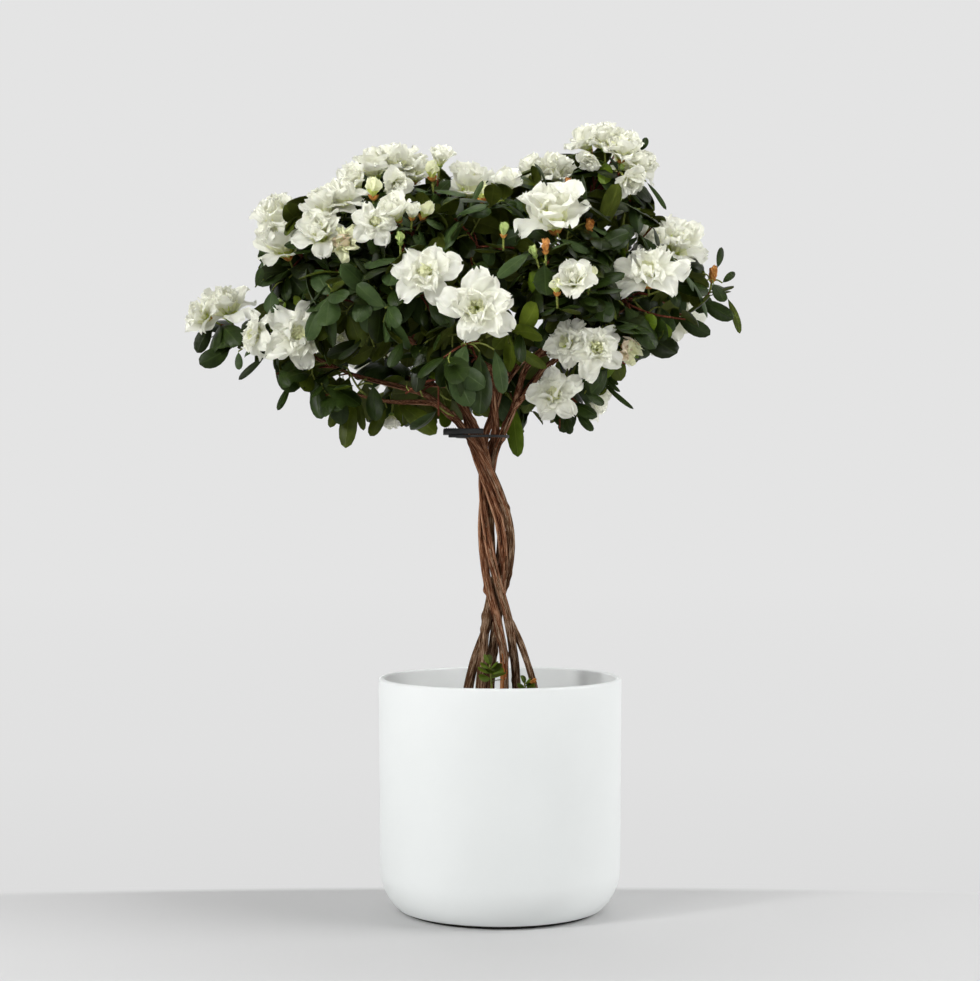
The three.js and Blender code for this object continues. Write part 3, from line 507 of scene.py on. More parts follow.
def grained(name, first, second, patch_mm, roughness, ior, grain=None):
    """A solid in two colours, with a raised grain where its size, detail, strength and depth are given."""
    finish, tree = new_finish(name)
    place = add_node(tree, "ShaderNodeTexCoord").outputs["Object"]
    colour = mottled(tree, place, patch_mm, first, second)
    shader = add_node(tree, "ShaderNodeBsdfPrincipled", {"Roughness": roughness, "IOR": ior},
                      {"Base Color": colour})
    if grain:
        size_mm, detail, strength, depth_mm = grain
        grains = add_node(tree, "ShaderNodeTexNoise", {"Scale": 1 / (size_mm * MM), "Detail": detail},
                          {"Vector": place})
        bump = add_node(tree, "ShaderNodeBump", {"Strength": strength, "Distance": depth_mm * MM},
                        {"Height": grains.outputs["Fac"]})
        tree.links.new(bump.outputs["Normal"], shader.inputs["Normal"])
    add_node(tree, "ShaderNodeOutputMaterial", links={"Surface": shader.outputs["BSDF"]})
    return finish


def let_light_through(tree, shader, colour, share):
    """A thin sheet: that share of the light comes through it and takes its colour."""
    glow = add_node(tree, "ShaderNodeBsdfTranslucent", {"Color": linear(colour)})
    both = add_node(tree, "ShaderNodeMixShader", {0: share},
                    {1: shader.outputs["BSDF"], 2: glow.outputs["BSDF"]})
    add_node(tree, "ShaderNodeOutputMaterial", links={"Surface": both.outputs["Shader"]})


def matt_glazed_ceramic():
    """Slip-cast stoneware under a matt white glaze: an even soft white with the faintest grain."""
    return grained("matt_white_glaze_on_cast_stoneware", "#F0F3F2", "#F2F5F4", 60, 0.52, 1.5,
                   grain=(0.8, 3.0, 0.06, 0.1))


def dark_foot_painted_shade():
    """A recessed foot ring of rough, dry clay, made near black: painted contact shadow under the pot."""
    return grained("dark_foot_clay_painted_contact_shade", "#24211F", "#34302C", 6, 0.9, 1.45)


def peat(name, dark, light, patch_mm):
    """Screened peat and bark fines: dry crumbs, dull and uneven."""
    return grained(name, dark, light, patch_mm, 0.95, 1.4, grain=(1.2, 5.0, 0.8, 0.6))


def scale_skin(name, first, second):
    """Dry papery bud scales and soft green bud coats."""
    return grained(name, first, second, 2.5, 0.6, 1.4)


def moulded_black_plastic():
    """Injection-moulded black polypropylene: dull, with a fine spark-eroded grain."""
    return grained("moulded_black_polypropylene", "#0B0B0B", "#141414", 3, 0.5, 1.49,
                   grain=(0.4, 2.0, 0.15, 0.1))


def fibrous_bark(name, dark, middle, light, fibres_round, fibres_long):
    """Azalea bark: long brown fibres in broad random darker and paler streaks.
    The fibres are counted round the limb and along it: 34 round a stem some 20 mm about are 0.6 mm each."""
    finish, tree = new_finish(name)
    place = add_node(tree, "ShaderNodeTexCoord")
    stretch = add_node(tree, "ShaderNodeMapping", {"Scale": (fibres_round, fibres_long, 1.0)},
                       {"Vector": place.outputs["UV"]})
    fibres = add_node(tree, "ShaderNodeTexNoise", {"Scale": 1.0, "Detail": 7.0, "Roughness": 0.7},
                      {"Vector": stretch.outputs["Vector"]})
    streaks = add_node(tree, "ShaderNodeTexNoise", {"Scale": 0.13, "Detail": 3.0},
                       {"Vector": stretch.outputs["Vector"]})
    streak_shift = add_node(tree, "ShaderNodeMath", {1: 0.6, 2: -0.305}, {0: streaks.outputs["Fac"]},
                       operation="MULTIPLY_ADD")
    streaked_fibres = add_node(tree, "ShaderNodeMath", links={0: fibres.outputs["Fac"], 1: streak_shift.outputs[0]},
                    operation="ADD")
    ramp = add_node(tree, "ShaderNodeValToRGB", links={"Fac": streaked_fibres.outputs[0]})
    ramp.color_ramp.elements[0].position = 0.36
    ramp.color_ramp.elements[0].color = linear(dark)
    ramp.color_ramp.elements[1].position = 0.68
    ramp.color_ramp.elements[1].color = linear(light)
    ramp.color_ramp.elements.new(0.5).color = linear(middle)
    bump = add_node(tree, "ShaderNodeBump", {"Strength": 0.9, "Distance": 0.9 * MM},
                    {"Height": fibres.outputs["Fac"]})
    shader = add_node(tree, "ShaderNodeBsdfPrincipled",
                      {"Roughness": 0.95, "IOR": 1.45, "Specular IOR Level": 0.08},
                      {"Base Color": ramp.outputs["Color"], "Normal": bump.outputs["Normal"]})
    add_node(tree, "ShaderNodeOutputMaterial", links={"Surface": shader.outputs["BSDF"]})
    return finish


def leaf_skin(name, dark, light, vein, roughness, clear):
    """A leathery leaf face: a sunken midrib and side veins, a low waxy sheen, light held inside.
    The side veins stand about 6.5 mm apart on a leaf of 42 mm."""
    finish, tree = new_finish(name)
    coordinates = add_node(tree, "ShaderNodeTexCoord")
    blotches = mottled(tree, coordinates.outputs["Object"], 9, dark, light, 0.3, 0.7)
    marks = add_node(tree, "ShaderNodeSeparateXYZ", links={"Vector": coordinates.outputs["UV"]})
    centred = add_node(tree, "ShaderNodeMath", {1: 0.5}, {0: marks.outputs["X"]}, operation="SUBTRACT")
    aside = add_node(tree, "ShaderNodeMath", links={0: centred.outputs[0]}, operation="ABSOLUTE")
    slant = add_node(tree, "ShaderNodeMath", {1: 5.0}, {0: aside.outputs[0]}, operation="MULTIPLY")
    rows = add_node(tree, "ShaderNodeMath", {1: 13.0}, {0: marks.outputs["Y"]}, operation="MULTIPLY")
    phase = add_node(tree, "ShaderNodeMath", links={0: rows.outputs[0], 1: slant.outputs[0]},
                     operation="SUBTRACT")
    side_vein = add_node(tree, "ShaderNodeMath", {1: 1.0}, {0: phase.outputs[0]}, operation="PINGPONG")
    midrib = add_node(tree, "ShaderNodeMapRange",
                      {"From Min": 0.0, "From Max": 0.05, "To Min": 1.0, "To Max": 0.0},
                      {"Value": aside.outputs[0]})
    fine = add_node(tree, "ShaderNodeMapRange",
                    {"From Min": 0.0, "From Max": 0.2, "To Min": 0.35, "To Max": 0.0},
                    {"Value": side_vein.outputs[0]})
    lines = add_node(tree, "ShaderNodeMath", links={0: midrib.outputs[0], 1: fine.outputs[0]},
                     operation="MAXIMUM")
    faint = add_node(tree, "ShaderNodeMath", {1: 0.4}, {0: lines.outputs[0]}, operation="MULTIPLY")
    colour = add_node(tree, "ShaderNodeMix", {7: linear(vein)}, {0: faint.outputs[0], 6: blotches},
                      data_type="RGBA")
    bump = add_node(tree, "ShaderNodeBump", {"Strength": 0.5, "Distance": 0.35 * MM},
                    {"Height": lines.outputs[0]}, invert=True)
    shader = add_node(tree, "ShaderNodeBsdfPrincipled",
                      {"Roughness": roughness, "IOR": 1.42, "Specular IOR Level": 0.24},
                      {"Base Color": colour.outputs[2], "Normal": bump.outputs["Normal"]})
    let_light_through(tree, shader, light, clear)
    return finish


def petal_skin(name, colour, shade, clear):
    """A thin petal: satin, faintly ribbed along its length, with light that comes through it.
    Twenty ribs on a petal some 20 mm broad are 1 mm apart."""
    finish, tree = new_finish(name)
    coordinates = add_node(tree, "ShaderNodeTexCoord")
    tone = mottled(tree, coordinates.outputs["Object"], 5, shade, colour, 0.25, 0.6)
    stretch = add_node(tree, "ShaderNodeMapping", {"Scale": (20.0, 2.5, 1.0)},
                       {"Vector": coordinates.outputs["UV"]})
    ribs = add_node(tree, "ShaderNodeTexNoise", {"Scale": 1.0, "Detail": 3.0},
                    {"Vector": stretch.outputs["Vector"]})
    bump = add_node(tree, "ShaderNodeBump", {"Strength": 0.7, "Distance": 0.5 * MM},
                    {"Height": ribs.outputs["Fac"]})
    shader = add_node(tree, "ShaderNodeBsdfPrincipled", {"Roughness": 0.55, "IOR": 1.4},
                      {"Base Color": tone, "Normal": bump.outputs["Normal"]})
    let_light_through(tree, shader, colour, clear)
    return finish


BARK = [
    fibrous_bark("old_azalea_bark", "#080301", "#5A3E29", "#C8AC90", 34, 22),
    fibrous_bark("red_azalea_bark", "#0A0301", "#6C422C", "#C49C7C", 28, 20),
    fibrous_bark("peeled_orange_bark", "#4A2412", "#96582F", "#CC9868", 20, 20),
    fibrous_bark("young_red_twig_bark", "#3A1C16", "#6E3B2C", "#8B5A42", 4, 30),
    fibrous_bark("green_twig_bark", "#4C5424", "#7C8440", "#98A05C", 3, 20),
]

LEAF_SKINS = [
    leaf_skin("dark_green_leaf_face", "#151C06", "#202A0B", "#36441C", 0.36, 0.12),
    leaf_skin("deep_green_leaf_face", "#1D290A", "#2B3B13", "#445724", 0.38, 0.15),
    leaf_skin("grey_green_painted_sheen_leaf_face", "#2B3C1C", "#3F5129", "#566739", 0.42, 0.14),
    # Grey-green face: partly the leaves' own tone, partly painted sheen.
    leaf_skin("olive_leaf_face", "#3A450D", "#505C17", "#697526", 0.44, 0.26),
    leaf_skin("fresh_green_leaf_face", "#4D6210", "#667E20", "#869838", 0.45, 0.26),
    leaf_skin("dull_olive_leaf_back", "#3D4510", "#515B1B", "#69702E", 0.6, 0.24),
    leaf_skin("pale_green_leaf_back", "#566518", "#6F8026", "#8D9A40", 0.6, 0.30),
]

PETAL_SKINS = [
    petal_skin("white_azalea_petal", "#FBFBF1", "#F6F7E6", 0.42),
    petal_skin("cream_petal_base", "#F5F6D5", "#ECEFC2", 0.40),
    petal_skin("green_petal_throat", "#DEE78A", "#C7D566", 0.38),
    petal_skin("withered_petal", "#F5E9D2", "#DDBD98", 0.30),
    scale_skin("green_flower_cup", "#6E8A3A", "#8CA452"),
    scale_skin("rust_bud_scale", "#96561F", "#CF9448"),
    scale_skin("green_bud_coat", "#8FA65A", "#B4C27A"),
]


# ---------------------------------------------------------------- limbs of the frame


def ring_path(node, sides):
    """Centre line and radii of a frame limb, from its rings of points, foot or fork first."""
    points = np.array([v.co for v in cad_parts[node].data.vertices]) / MM
    points = np.unique(points.round(3), axis=0)
    start = points[np.argmin(np.linalg.norm(points - HEARTWOOD, axis=1))]
    if node.startswith("stem"):
        start = points[np.argmin(points[:, 2])]
    far = points[np.argmax(np.linalg.norm(points - start, axis=1))]
    order = np.argsort((points - start) @ unit(far - start))
    points = points[order]
    count = len(points) // sides
    for _ in range(2):
        rings = points[:count * sides].reshape(count, sides, 3)
        centres = rings.mean(axis=1)
        ways = np.gradient(centres, axis=0)
        ways /= np.linalg.norm(ways, axis=1)[:, None]
        steps = np.concatenate([[0], np.cumsum(np.linalg.norm(np.diff(centres, axis=0), axis=1))])
        near = np.argmin(np.linalg.norm(points[:, None] - centres[None], axis=2), axis=1)
        places = steps[near] + np.einsum("ij,ij->i", points - centres[near], ways[near])
        points = points[np.argsort(places)]
    rings = points[:count * sides].reshape(count, sides, 3)
    centres = rings.mean(axis=1)
    return centres, np.linalg.norm(rings - centres[:, None], axis=2).mean(axis=1)


# About where the boughs fork, and how many sides the frame's limbs and their barked skins have.
HEARTWOOD = np.array([-10.0, 0.0, 400.0])
STEM_SIDES = 6
BOUGH_SIDES = 5
STEM_SKIN_SIDES = 22
BOUGH_SKIN_SIDES = 12
# A peeled strip of more rows than this is broad and ends in torn fibres.
BROAD_STRIP = 30

stems = {name: ring_path(name, STEM_SIDES) for name in PLANT}
boughs = {
    bough: ring_path(f"bough_{bough}", BOUGH_SIDES)
    for carried in PLANT.values() for bough in carried
}


def wander(count, period, chance):
    """A slow wandering value along a limb."""
    knots = chance.uniform(-1, 1, max(3, int(count / period) + 3))
    return np.interp(np.linspace(0, len(knots) - 1, count), np.arange(len(knots)), knots)


def bark_relief(count, sides, depth, chance, knots):
    """Fibre ridges that drift round the limb as they climb it, with a few knots."""
    around = np.linspace(0, 2 * math.pi, sides, endpoint=False)[None, :]
    relief = np.zeros((count, sides))
    for waves, share in ((2, 0.55), (3, 0.35), (5, 0.2), (9, 0.14)):
        drift = np.cumsum(wander(count, 18, chance)) * 0.05 + chance.uniform(0, 6.3)
        swell = 0.7 + 0.5 * wander(count, 12, chance)
        relief += share * swell[:, None] * np.sin(waves * around + drift[:, None])
    relief += 0.35 * wander(count, 6, chance)[:, None]
    rows = np.arange(count)[:, None]
    for _ in range(knots):
        row, turned = chance.uniform(0.05, 0.95) * count, chance.uniform(0, 2 * math.pi)
        apart = np.angle(np.exp(1j * (around - turned)))
        relief += chance.uniform(1.5, 3.5) * np.exp(-((rows - row) / 2.6) ** 2 - (apart / 0.42) ** 2)
    return depth * relief


def bark_slots(count, sides, peeled_to, old_share, chance):
    """Old bark low down, redder above, and strips at the foot where it has peeled to orange."""
    rows, cols = np.meshgrid(np.arange(count - 1), np.arange(sides), indexing="ij")
    share = rows / count
    edge = old_share + 0.12 * np.sin(cols * 1.3 + chance.uniform(0, 6)) + 0.08 * np.sin(rows * 0.21 + cols)
    slots = np.where(share < edge, OLD_BARK, RED_BARK)
    bared = peeled_to > BROAD_STRIP
    strip = sides // 2 if bared else chance.integers(0, sides)
    near = np.minimum((cols - strip) % sides, (strip - cols) % sides)
    ragged = (5.6 if bared else 1.8) + 1.6 * np.sin(rows * 0.35 + strip)
    torn = peeled_to + (5.5 * np.sin(cols * 2.1 + 0.6) + 2.5 * np.sin(cols * 4.7) if bared else 0)
    slots = np.where((rows < torn) & (near < ragged), PEELED_BARK, slots)
    return slots.ravel()


def grow_bark():
    """Every stem and bough gets a barked skin along the frame's own limb.
    Each stem has its rows of peeled strip, and the share of its height that is old bark."""
    pile = Pile()
    peeled = {"stem_left_outer": 0, "stem_left_front": 6, "stem_left_back": 0,
              "stem_right_front": 34, "stem_right_back": 12, "stem_right_outer": 3}
    old = {"stem_left_outer": 0.72, "stem_left_front": 0.6, "stem_left_back": 0.35,
           "stem_right_front": 0.22, "stem_right_back": 0.4, "stem_right_outer": 0.85}
    for index, (name, (centres, radii)) in enumerate(stems.items()):
        chance = np.random.default_rng(40 + index)
        path = smooth_path(centres, 1.2)
        path[0, 2] -= 1.5
        widths = np.interp(np.linspace(0, 1, len(path)), np.linspace(0, 1, len(radii)), radii)
        widths = widths * 0.98 * (1 + 0.07 * wander(len(path), 25, chance))
        widths[-4:] *= (1, 0.9, 0.6, 0.1)
        relief = bark_relief(len(path), STEM_SKIN_SIDES, 0.42, chance, 16)
        relief[-4:] *= 0.2
        slots = bark_slots(len(path), STEM_SKIN_SIDES, peeled[name], old[name], chance)
        add_tube(pile, path, widths, STEM_SKIN_SIDES, slots, relief)
        for bough in PLANT[name]:
            inner, inner_radii = boughs[bough]
            below = path[int(len(path) * 0.955)]
            line = smooth_path([below, *inner[1:]], 1.4)
            widths = np.linspace(inner_radii[0] * 1.3, inner_radii[-1], len(line))
            relief = bark_relief(len(line), BOUGH_SKIN_SIDES, 0.16, chance, 6)
            add_tube(pile, line, widths, BOUGH_SKIN_SIDES, RED_BARK, relief)
    return pile


# ---------------------------------------------------------------- leaves

BLADE_ROWS = np.array([0, 0.05, 0.11, 0.21, 0.35, 0.51, 0.67, 0.82, 0.94, 1.0])
BLADE_COLS = np.array([-1, -0.55, 0, 0.55, 1])
blade_share = np.clip((BLADE_ROWS - 0.07) / 0.93, 0, 1)
BLADE_HALF = np.maximum(2.2 * blade_share**0.74 * (1 - blade_share) ** 0.5, 0.05)
BLADE_FACES = grid_faces(len(BLADE_ROWS), len(BLADE_COLS))
BLADE_MARKS = np.stack(
    [np.broadcast_to((BLADE_COLS + 1) / 2, (len(BLADE_ROWS), len(BLADE_COLS))),
     np.broadcast_to(BLADE_ROWS[:, None], (len(BLADE_ROWS), len(BLADE_COLS)))], axis=-1).reshape(-1, 2)
# The points of a blade that are tried for room, by row and column: its midrib, then its edges and tip.
BLADE_FEEL = [row * len(BLADE_COLS) + col for row, col in (
    (3, 2), (4, 2), (5, 2), (6, 2), (7, 2), (4, 0), (4, 4), (6, 0), (6, 4), (8, 0), (9, 2))]


def blade(root, out, up, length, growth, width=LEAF_WIDTH, most_bend=0.95):
    """One leaf: an oval blade on a short stalk, arched along its length, creased at the midrib."""
    u = unit(out)
    w = unit(up - u * (u @ up))
    v = np.cross(w, u)
    tilt = growth.between(-0.35, 0.35)
    w, v = w * math.cos(tilt) + v * math.sin(tilt), v * math.cos(tilt) - w * math.sin(tilt)
    bend = growth.between(0.15, most_bend)
    sideways = growth.between(-0.12, 0.12)
    half = BLADE_HALF * length * width / 2 * growth.between(0.88, 1.12)
    angle = -bend * BLADE_ROWS**1.6
    step = np.diff(BLADE_ROWS, prepend=0) * length
    along = np.cumsum(step * np.cos(angle))
    high = np.cumsum(step * np.sin(angle))
    crease = growth.between(0.16, 0.42)
    roll = crease + growth.between(0.08, 0.3)
    wave = growth.between(-0.05, 0.05)
    a = np.abs(BLADE_COLS)[None, :]
    lift = half[:, None] * (crease * a - roll * a**2
                            + wave * BLADE_COLS[None, :] * np.sin(9 * BLADE_ROWS)[:, None])
    across = half[:, None] * BLADE_COLS[None, :] + sideways * length * (BLADE_ROWS**2)[:, None]
    x = along[:, None] - lift * np.sin(angle)[:, None]
    z = high[:, None] + lift * np.cos(angle)[:, None]
    top = root + x[..., None] * u + across[..., None] * v + z[..., None] * w
    thick = 0.5 * (1 - BLADE_COLS**2)[None, :] * np.minimum(1, half / 2)[:, None]
    below = top - thick[..., None] * w - 0.05 * w
    return top.reshape(-1, 3), below.reshape(-1, 3)


def add_blade(pile, top, below, face, back):
    pile.add(top, BLADE_FACES, face, BLADE_MARKS)
    pile.add(below, BLADE_FACES[:, ::-1], back, BLADE_MARKS)


# ---------------------------------------------------------------- flowers

BROAD_GRID = (16, 13)
SMALL_GRID = (8, 7)
GRID_FACES = {grid: grid_faces(*grid) for grid in (BROAD_GRID, SMALL_GRID)}
GRID_MARKS = {grid: grid_marks(*grid) for grid in (BROAD_GRID, SMALL_GRID)}


def petal(root, axis, side, shape, growth, grid=BROAD_GRID):
    """One petal: a narrow foot, then a broad rounded blade with a waved and crimped edge.
    The shape gives its length, width, lean at the foot and flare at the tip, ruffle and cupping."""
    length, width, lean, flare, ruffle, cup = shape
    u = np.linspace(0, 1, grid[0])
    v = np.linspace(-1, 1, grid[1])
    opened = np.clip((u - 0.1) / 0.75, 0, 1)
    angle = np.radians(lean + (flare - lean) * opened * opened * (3 - 2 * opened))
    step = length / (grid[0] - 1)
    out = np.concatenate([[0], np.cumsum(np.sin(angle[1:]) * step)])
    high = np.concatenate([[0], np.cumsum(np.cos(angle[1:]) * step)])
    foot = 0.2 + 0.8 * np.sin(np.clip(u / 0.64, 0, 1) * math.pi / 2) ** 1.5
    half = width / 2 * foot * np.sqrt(np.clip(1 - (np.clip(u - 0.62, 0, 1) / 0.39) ** 2, 0.03, 1))
    lateral = np.cross(axis, side)
    phase = [growth.between(0, 6.28) for _ in range(5)]
    V, U = np.meshgrid(v, u)
    margin = np.abs(V) ** 1.7
    waves = 0.10 * margin * U * np.where(V > 0, np.sin(8.5 * U + phase[0]), np.sin(9.5 * U + phase[1]))
    waves += 0.085 * U**3 * (1 - margin) * np.sin(4.6 * V + phase[2])
    crimp = 0.036 * np.maximum(margin, U**3) * np.sin(9.5 * V + 11 * U + phase[3])
    groove = -0.05 * np.exp(-(V / 0.2) ** 2) * U
    normal = length * (ruffle * (waves + crimp) + groove) + cup * half[:, None] * V**2
    notch = length * (0.03 * U**4 * np.cos(5.5 * V) - 0.05 * U**5
                      + 0.02 * ruffle * U**3 * np.sin(10 * V + phase[4]))
    rim = (np.abs(V) == 1) | (U == 1)
    fray = np.array([growth.between(-1, 1) for _ in range(rim.sum())])
    notch[rim] += 0.022 * length * fray
    swing = math.radians(growth.between(-9, 9)) * length * U**2
    turned = math.radians(growth.between(-14, 14)) * ruffle * U**1.5 * V * half[:, None]
    ways = np.cos(angle)[:, None, None] * axis + np.sin(angle)[:, None, None] * side
    faces_in = -np.cos(angle)[:, None, None] * side + np.sin(angle)[:, None, None] * axis
    spine = root + high[:, None, None] * axis + out[:, None, None] * side
    across = half[:, None] * V + swing
    points = (spine + across[..., None] * lateral + (normal + turned)[..., None] * faces_in
              + notch[..., None] * ways)
    return points.reshape(-1, 3)


def petal_slots(grid, throat, cream, tint=WHITE):
    """Slots of one petal's faces: green in the throat, then cream, then its own colour."""
    rows = np.repeat(np.arange(grid[0] - 1) / (grid[0] - 1), grid[1] - 1)
    return np.where(rows < throat, THROAT, np.where(rows < cream, CREAM, tint))


# Whorls of each stage: count, length, width, lean, flare, ruffle, cupping, height on the axis,
# and how far the throat's green and the cream reach. Lengths are shares of the flower's width.
STAGES = {
    "full": [
        (5, 0.68, 0.40, 28, 100, 1.1, -0.05, 0.00, 0.18, 0.32),
        (6, 0.60, 0.35, 18, 74, 1.4, 0.10, 0.02, 0.20, 0.38),
        (6, 0.50, 0.29, 8, 44, 1.8, 0.30, 0.04, 0.28, 0.52),
        (5, 0.36, 0.20, -4, 20, 2.2, 0.60, 0.06, 0.65, 0.98),
    ],
    "cup": [
        (5, 0.74, 0.50, 34, 80, 0.9, 0.05, 0.00, 0.20, 0.34),
        (5, 0.76, 0.48, 20, 42, 1.1, 0.25, 0.02, 0.22, 0.42),
        (6, 0.70, 0.38, 8, 20, 1.6, 0.40, 0.04, 0.30, 0.55),
        (3, 0.54, 0.26, -4, 10, 2.2, 0.60, 0.06, 0.65, 0.95),
    ],
    "half": [
        (5, 0.95, 0.66, 18, 52, 0.8, 0.15, 0.00, 0.20, 0.38),
        (5, 0.88, 0.56, 10, 26, 0.9, 0.35, 0.03, 0.22, 0.46),
        (4, 0.70, 0.36, 4, 14, 1.2, 0.50, 0.05, 0.30, 0.60),
    ],
    "bud": [
        (5, 1.55, 1.05, 30, -24, 0.25, 0.75, 0.00, 0.30, 1.0),
        (3, 1.45, 0.70, 20, -12, 0.3, 0.70, 0.05, 0.30, 1.0),
    ],
    "spent": [
        (5, 0.80, 0.42, 20, 76, 2.0, 0.30, 0.00, 0.0, 0.0),
        (5, 0.72, 0.36, 10, 50, 2.4, 0.50, 0.02, 0.0, 0.2),
    ],
    "green": [(5, 1.5, 0.95, 32, -28, 0.15, 0.75, 0.00, 0.0, 0.0)],
    "scale": [
        (5, 1.15, 0.80, 42, -14, 0.3, 0.6, 0.00, 0.0, 0.0),
        (5, 1.45, 0.72, 26, -20, 0.3, 0.6, 0.06, 0.0, 0.0),
    ],
}
STAGE_TINT = {"full": WHITE, "cup": WHITE, "half": WHITE, "bud": CREAM, "spent": WITHERED,
              "green": GREEN_BUD, "scale": SCALE}
OPEN = ("full", "cup", "half", "spent")
# Flowers wider than this get the finer petals.
FINE_FLOWER = 14


def flower_base(middle, facing, width, stage):
    """Where a flower joins its stalk: a share of its width behind its middle."""
    share = {"full": 0.2, "cup": 0.34, "half": 0.42, "spent": 0.36}.get(stage, 0.7)
    return np.asarray(middle, float) - facing * width * share


def add_flower(pile, base, facing, width, stage, growth):
    """Whorls of petals on one axis, and five small scales or cup lobes behind them."""
    u, v = cross_axes(facing)
    spin = growth.between(0, 72)
    for level, row in enumerate(STAGES[stage]):
        count, length, broad, lean, flare, ruffle, cup, height, throat, cream = row
        for k in range(count):
            turn = math.radians(spin + 360 * (k + 0.5 * (level % 2)) / count + growth.between(-7, 7))
            side = u * math.cos(turn) + v * math.sin(turn)
            size = width * growth.between(0.84, 1.08)
            droop = 22 * max(0.0, -side[2]) if level == 0 else 0
            loose = 24 if level < 2 else 16
            shape = (length * size, broad * size, lean + growth.between(-5, 5),
                     flare + droop + growth.between(-loose, loose), ruffle, cup + growth.between(-0.15, 0.15))
            root = base + facing * height * width + side * 0.02 * width
            tint = STAGE_TINT[stage]
            if stage == "spent" and growth.next() < 0.45:
                tint = CREAM
            grid = BROAD_GRID if width > FINE_FLOWER else SMALL_GRID
            points = petal(root, facing, side, shape, growth, grid)
            pile.add(points, GRID_FACES[grid], petal_slots(grid, throat, cream, tint), GRID_MARKS[grid])
    coat = SCALE if stage in ("bud", "scale") or growth.next() < 0.4 else CUP
    small = max(5.0, 0.2 * width) if stage in OPEN else 0.62 * width
    for k in range(5):
        turn = math.radians(spin + 72 * k)
        side = u * math.cos(turn) + v * math.sin(turn)
        shape = (small, small * 0.55, 60, 22, 0.3, 0.5)
        points = petal(base - facing * small * 0.25, facing, side, shape, growth, SMALL_GRID)
        pile.add(points, GRID_FACES[SMALL_GRID], coat, GRID_MARKS[SMALL_GRID])


# ---------------------------------------------------------------- masses

# A shoot that ends below the first height has the lower crown's leaf colours, more olive and with paler
# backs, partly painted light that shines through those leaves from behind; the leaves of a mass whose middle
# is below the second hang.
LOW_PAINTED_BACKLIGHT_TIP = 455
LOW_MASS = 460
# A leaf is kept out of the openings unless it grows this far back.
BACK_OF_OPENINGS = 15
# Room ahead of and beside a flower, as shares of its width, and round a limb in millimetres.
CLEAR_AHEAD = 1.1
CLEAR_BESIDE = 0.43
CLEAR_OF_LIMB = 3.2
# No leafy shoots grow on a bough below this height.
LOWEST_SHADE = 432


def painted_shade_under_front_flowers(tip):
    """Below and between the big front flowers, where no leaf is olive or fresh green: no painted backlight
    there, and the deep green is painted shade under those flowers.
    """
    return tip[2] < 505 and tip[1] < 0 and abs(tip[0] - 25) < 45


def mass_space(mass):
    """The middle and reach of a mass, from the solid that stands for it in the frame."""
    low, high = box_mm(f"mass_{mass}")
    return (low + high) / 2, max(high - low) / 2


def shoot_ways(outward, taken, count, growth):
    """Shoots leave the middle of a mass evenly, and keep clear of those already there."""
    spin = growth.between(0, 360)
    ways = []
    for k in range(48):
        z = 1 - (2 * k + 1) / 48
        a = math.radians(spin + LEAF_TURN * k)
        way = np.array([math.cos(a) * math.sqrt(1 - z * z), math.sin(a) * math.sqrt(1 - z * z), z])
        if way @ outward > -0.62:
            ways.append(way)
    chosen = list(taken)
    while len(chosen) < len(taken) + count:
        ways.sort(key=lambda way: max([-1.0] + [float(other @ way) for other in chosen]))
        chosen.append(ways.pop(0))
    return chosen[len(taken):]


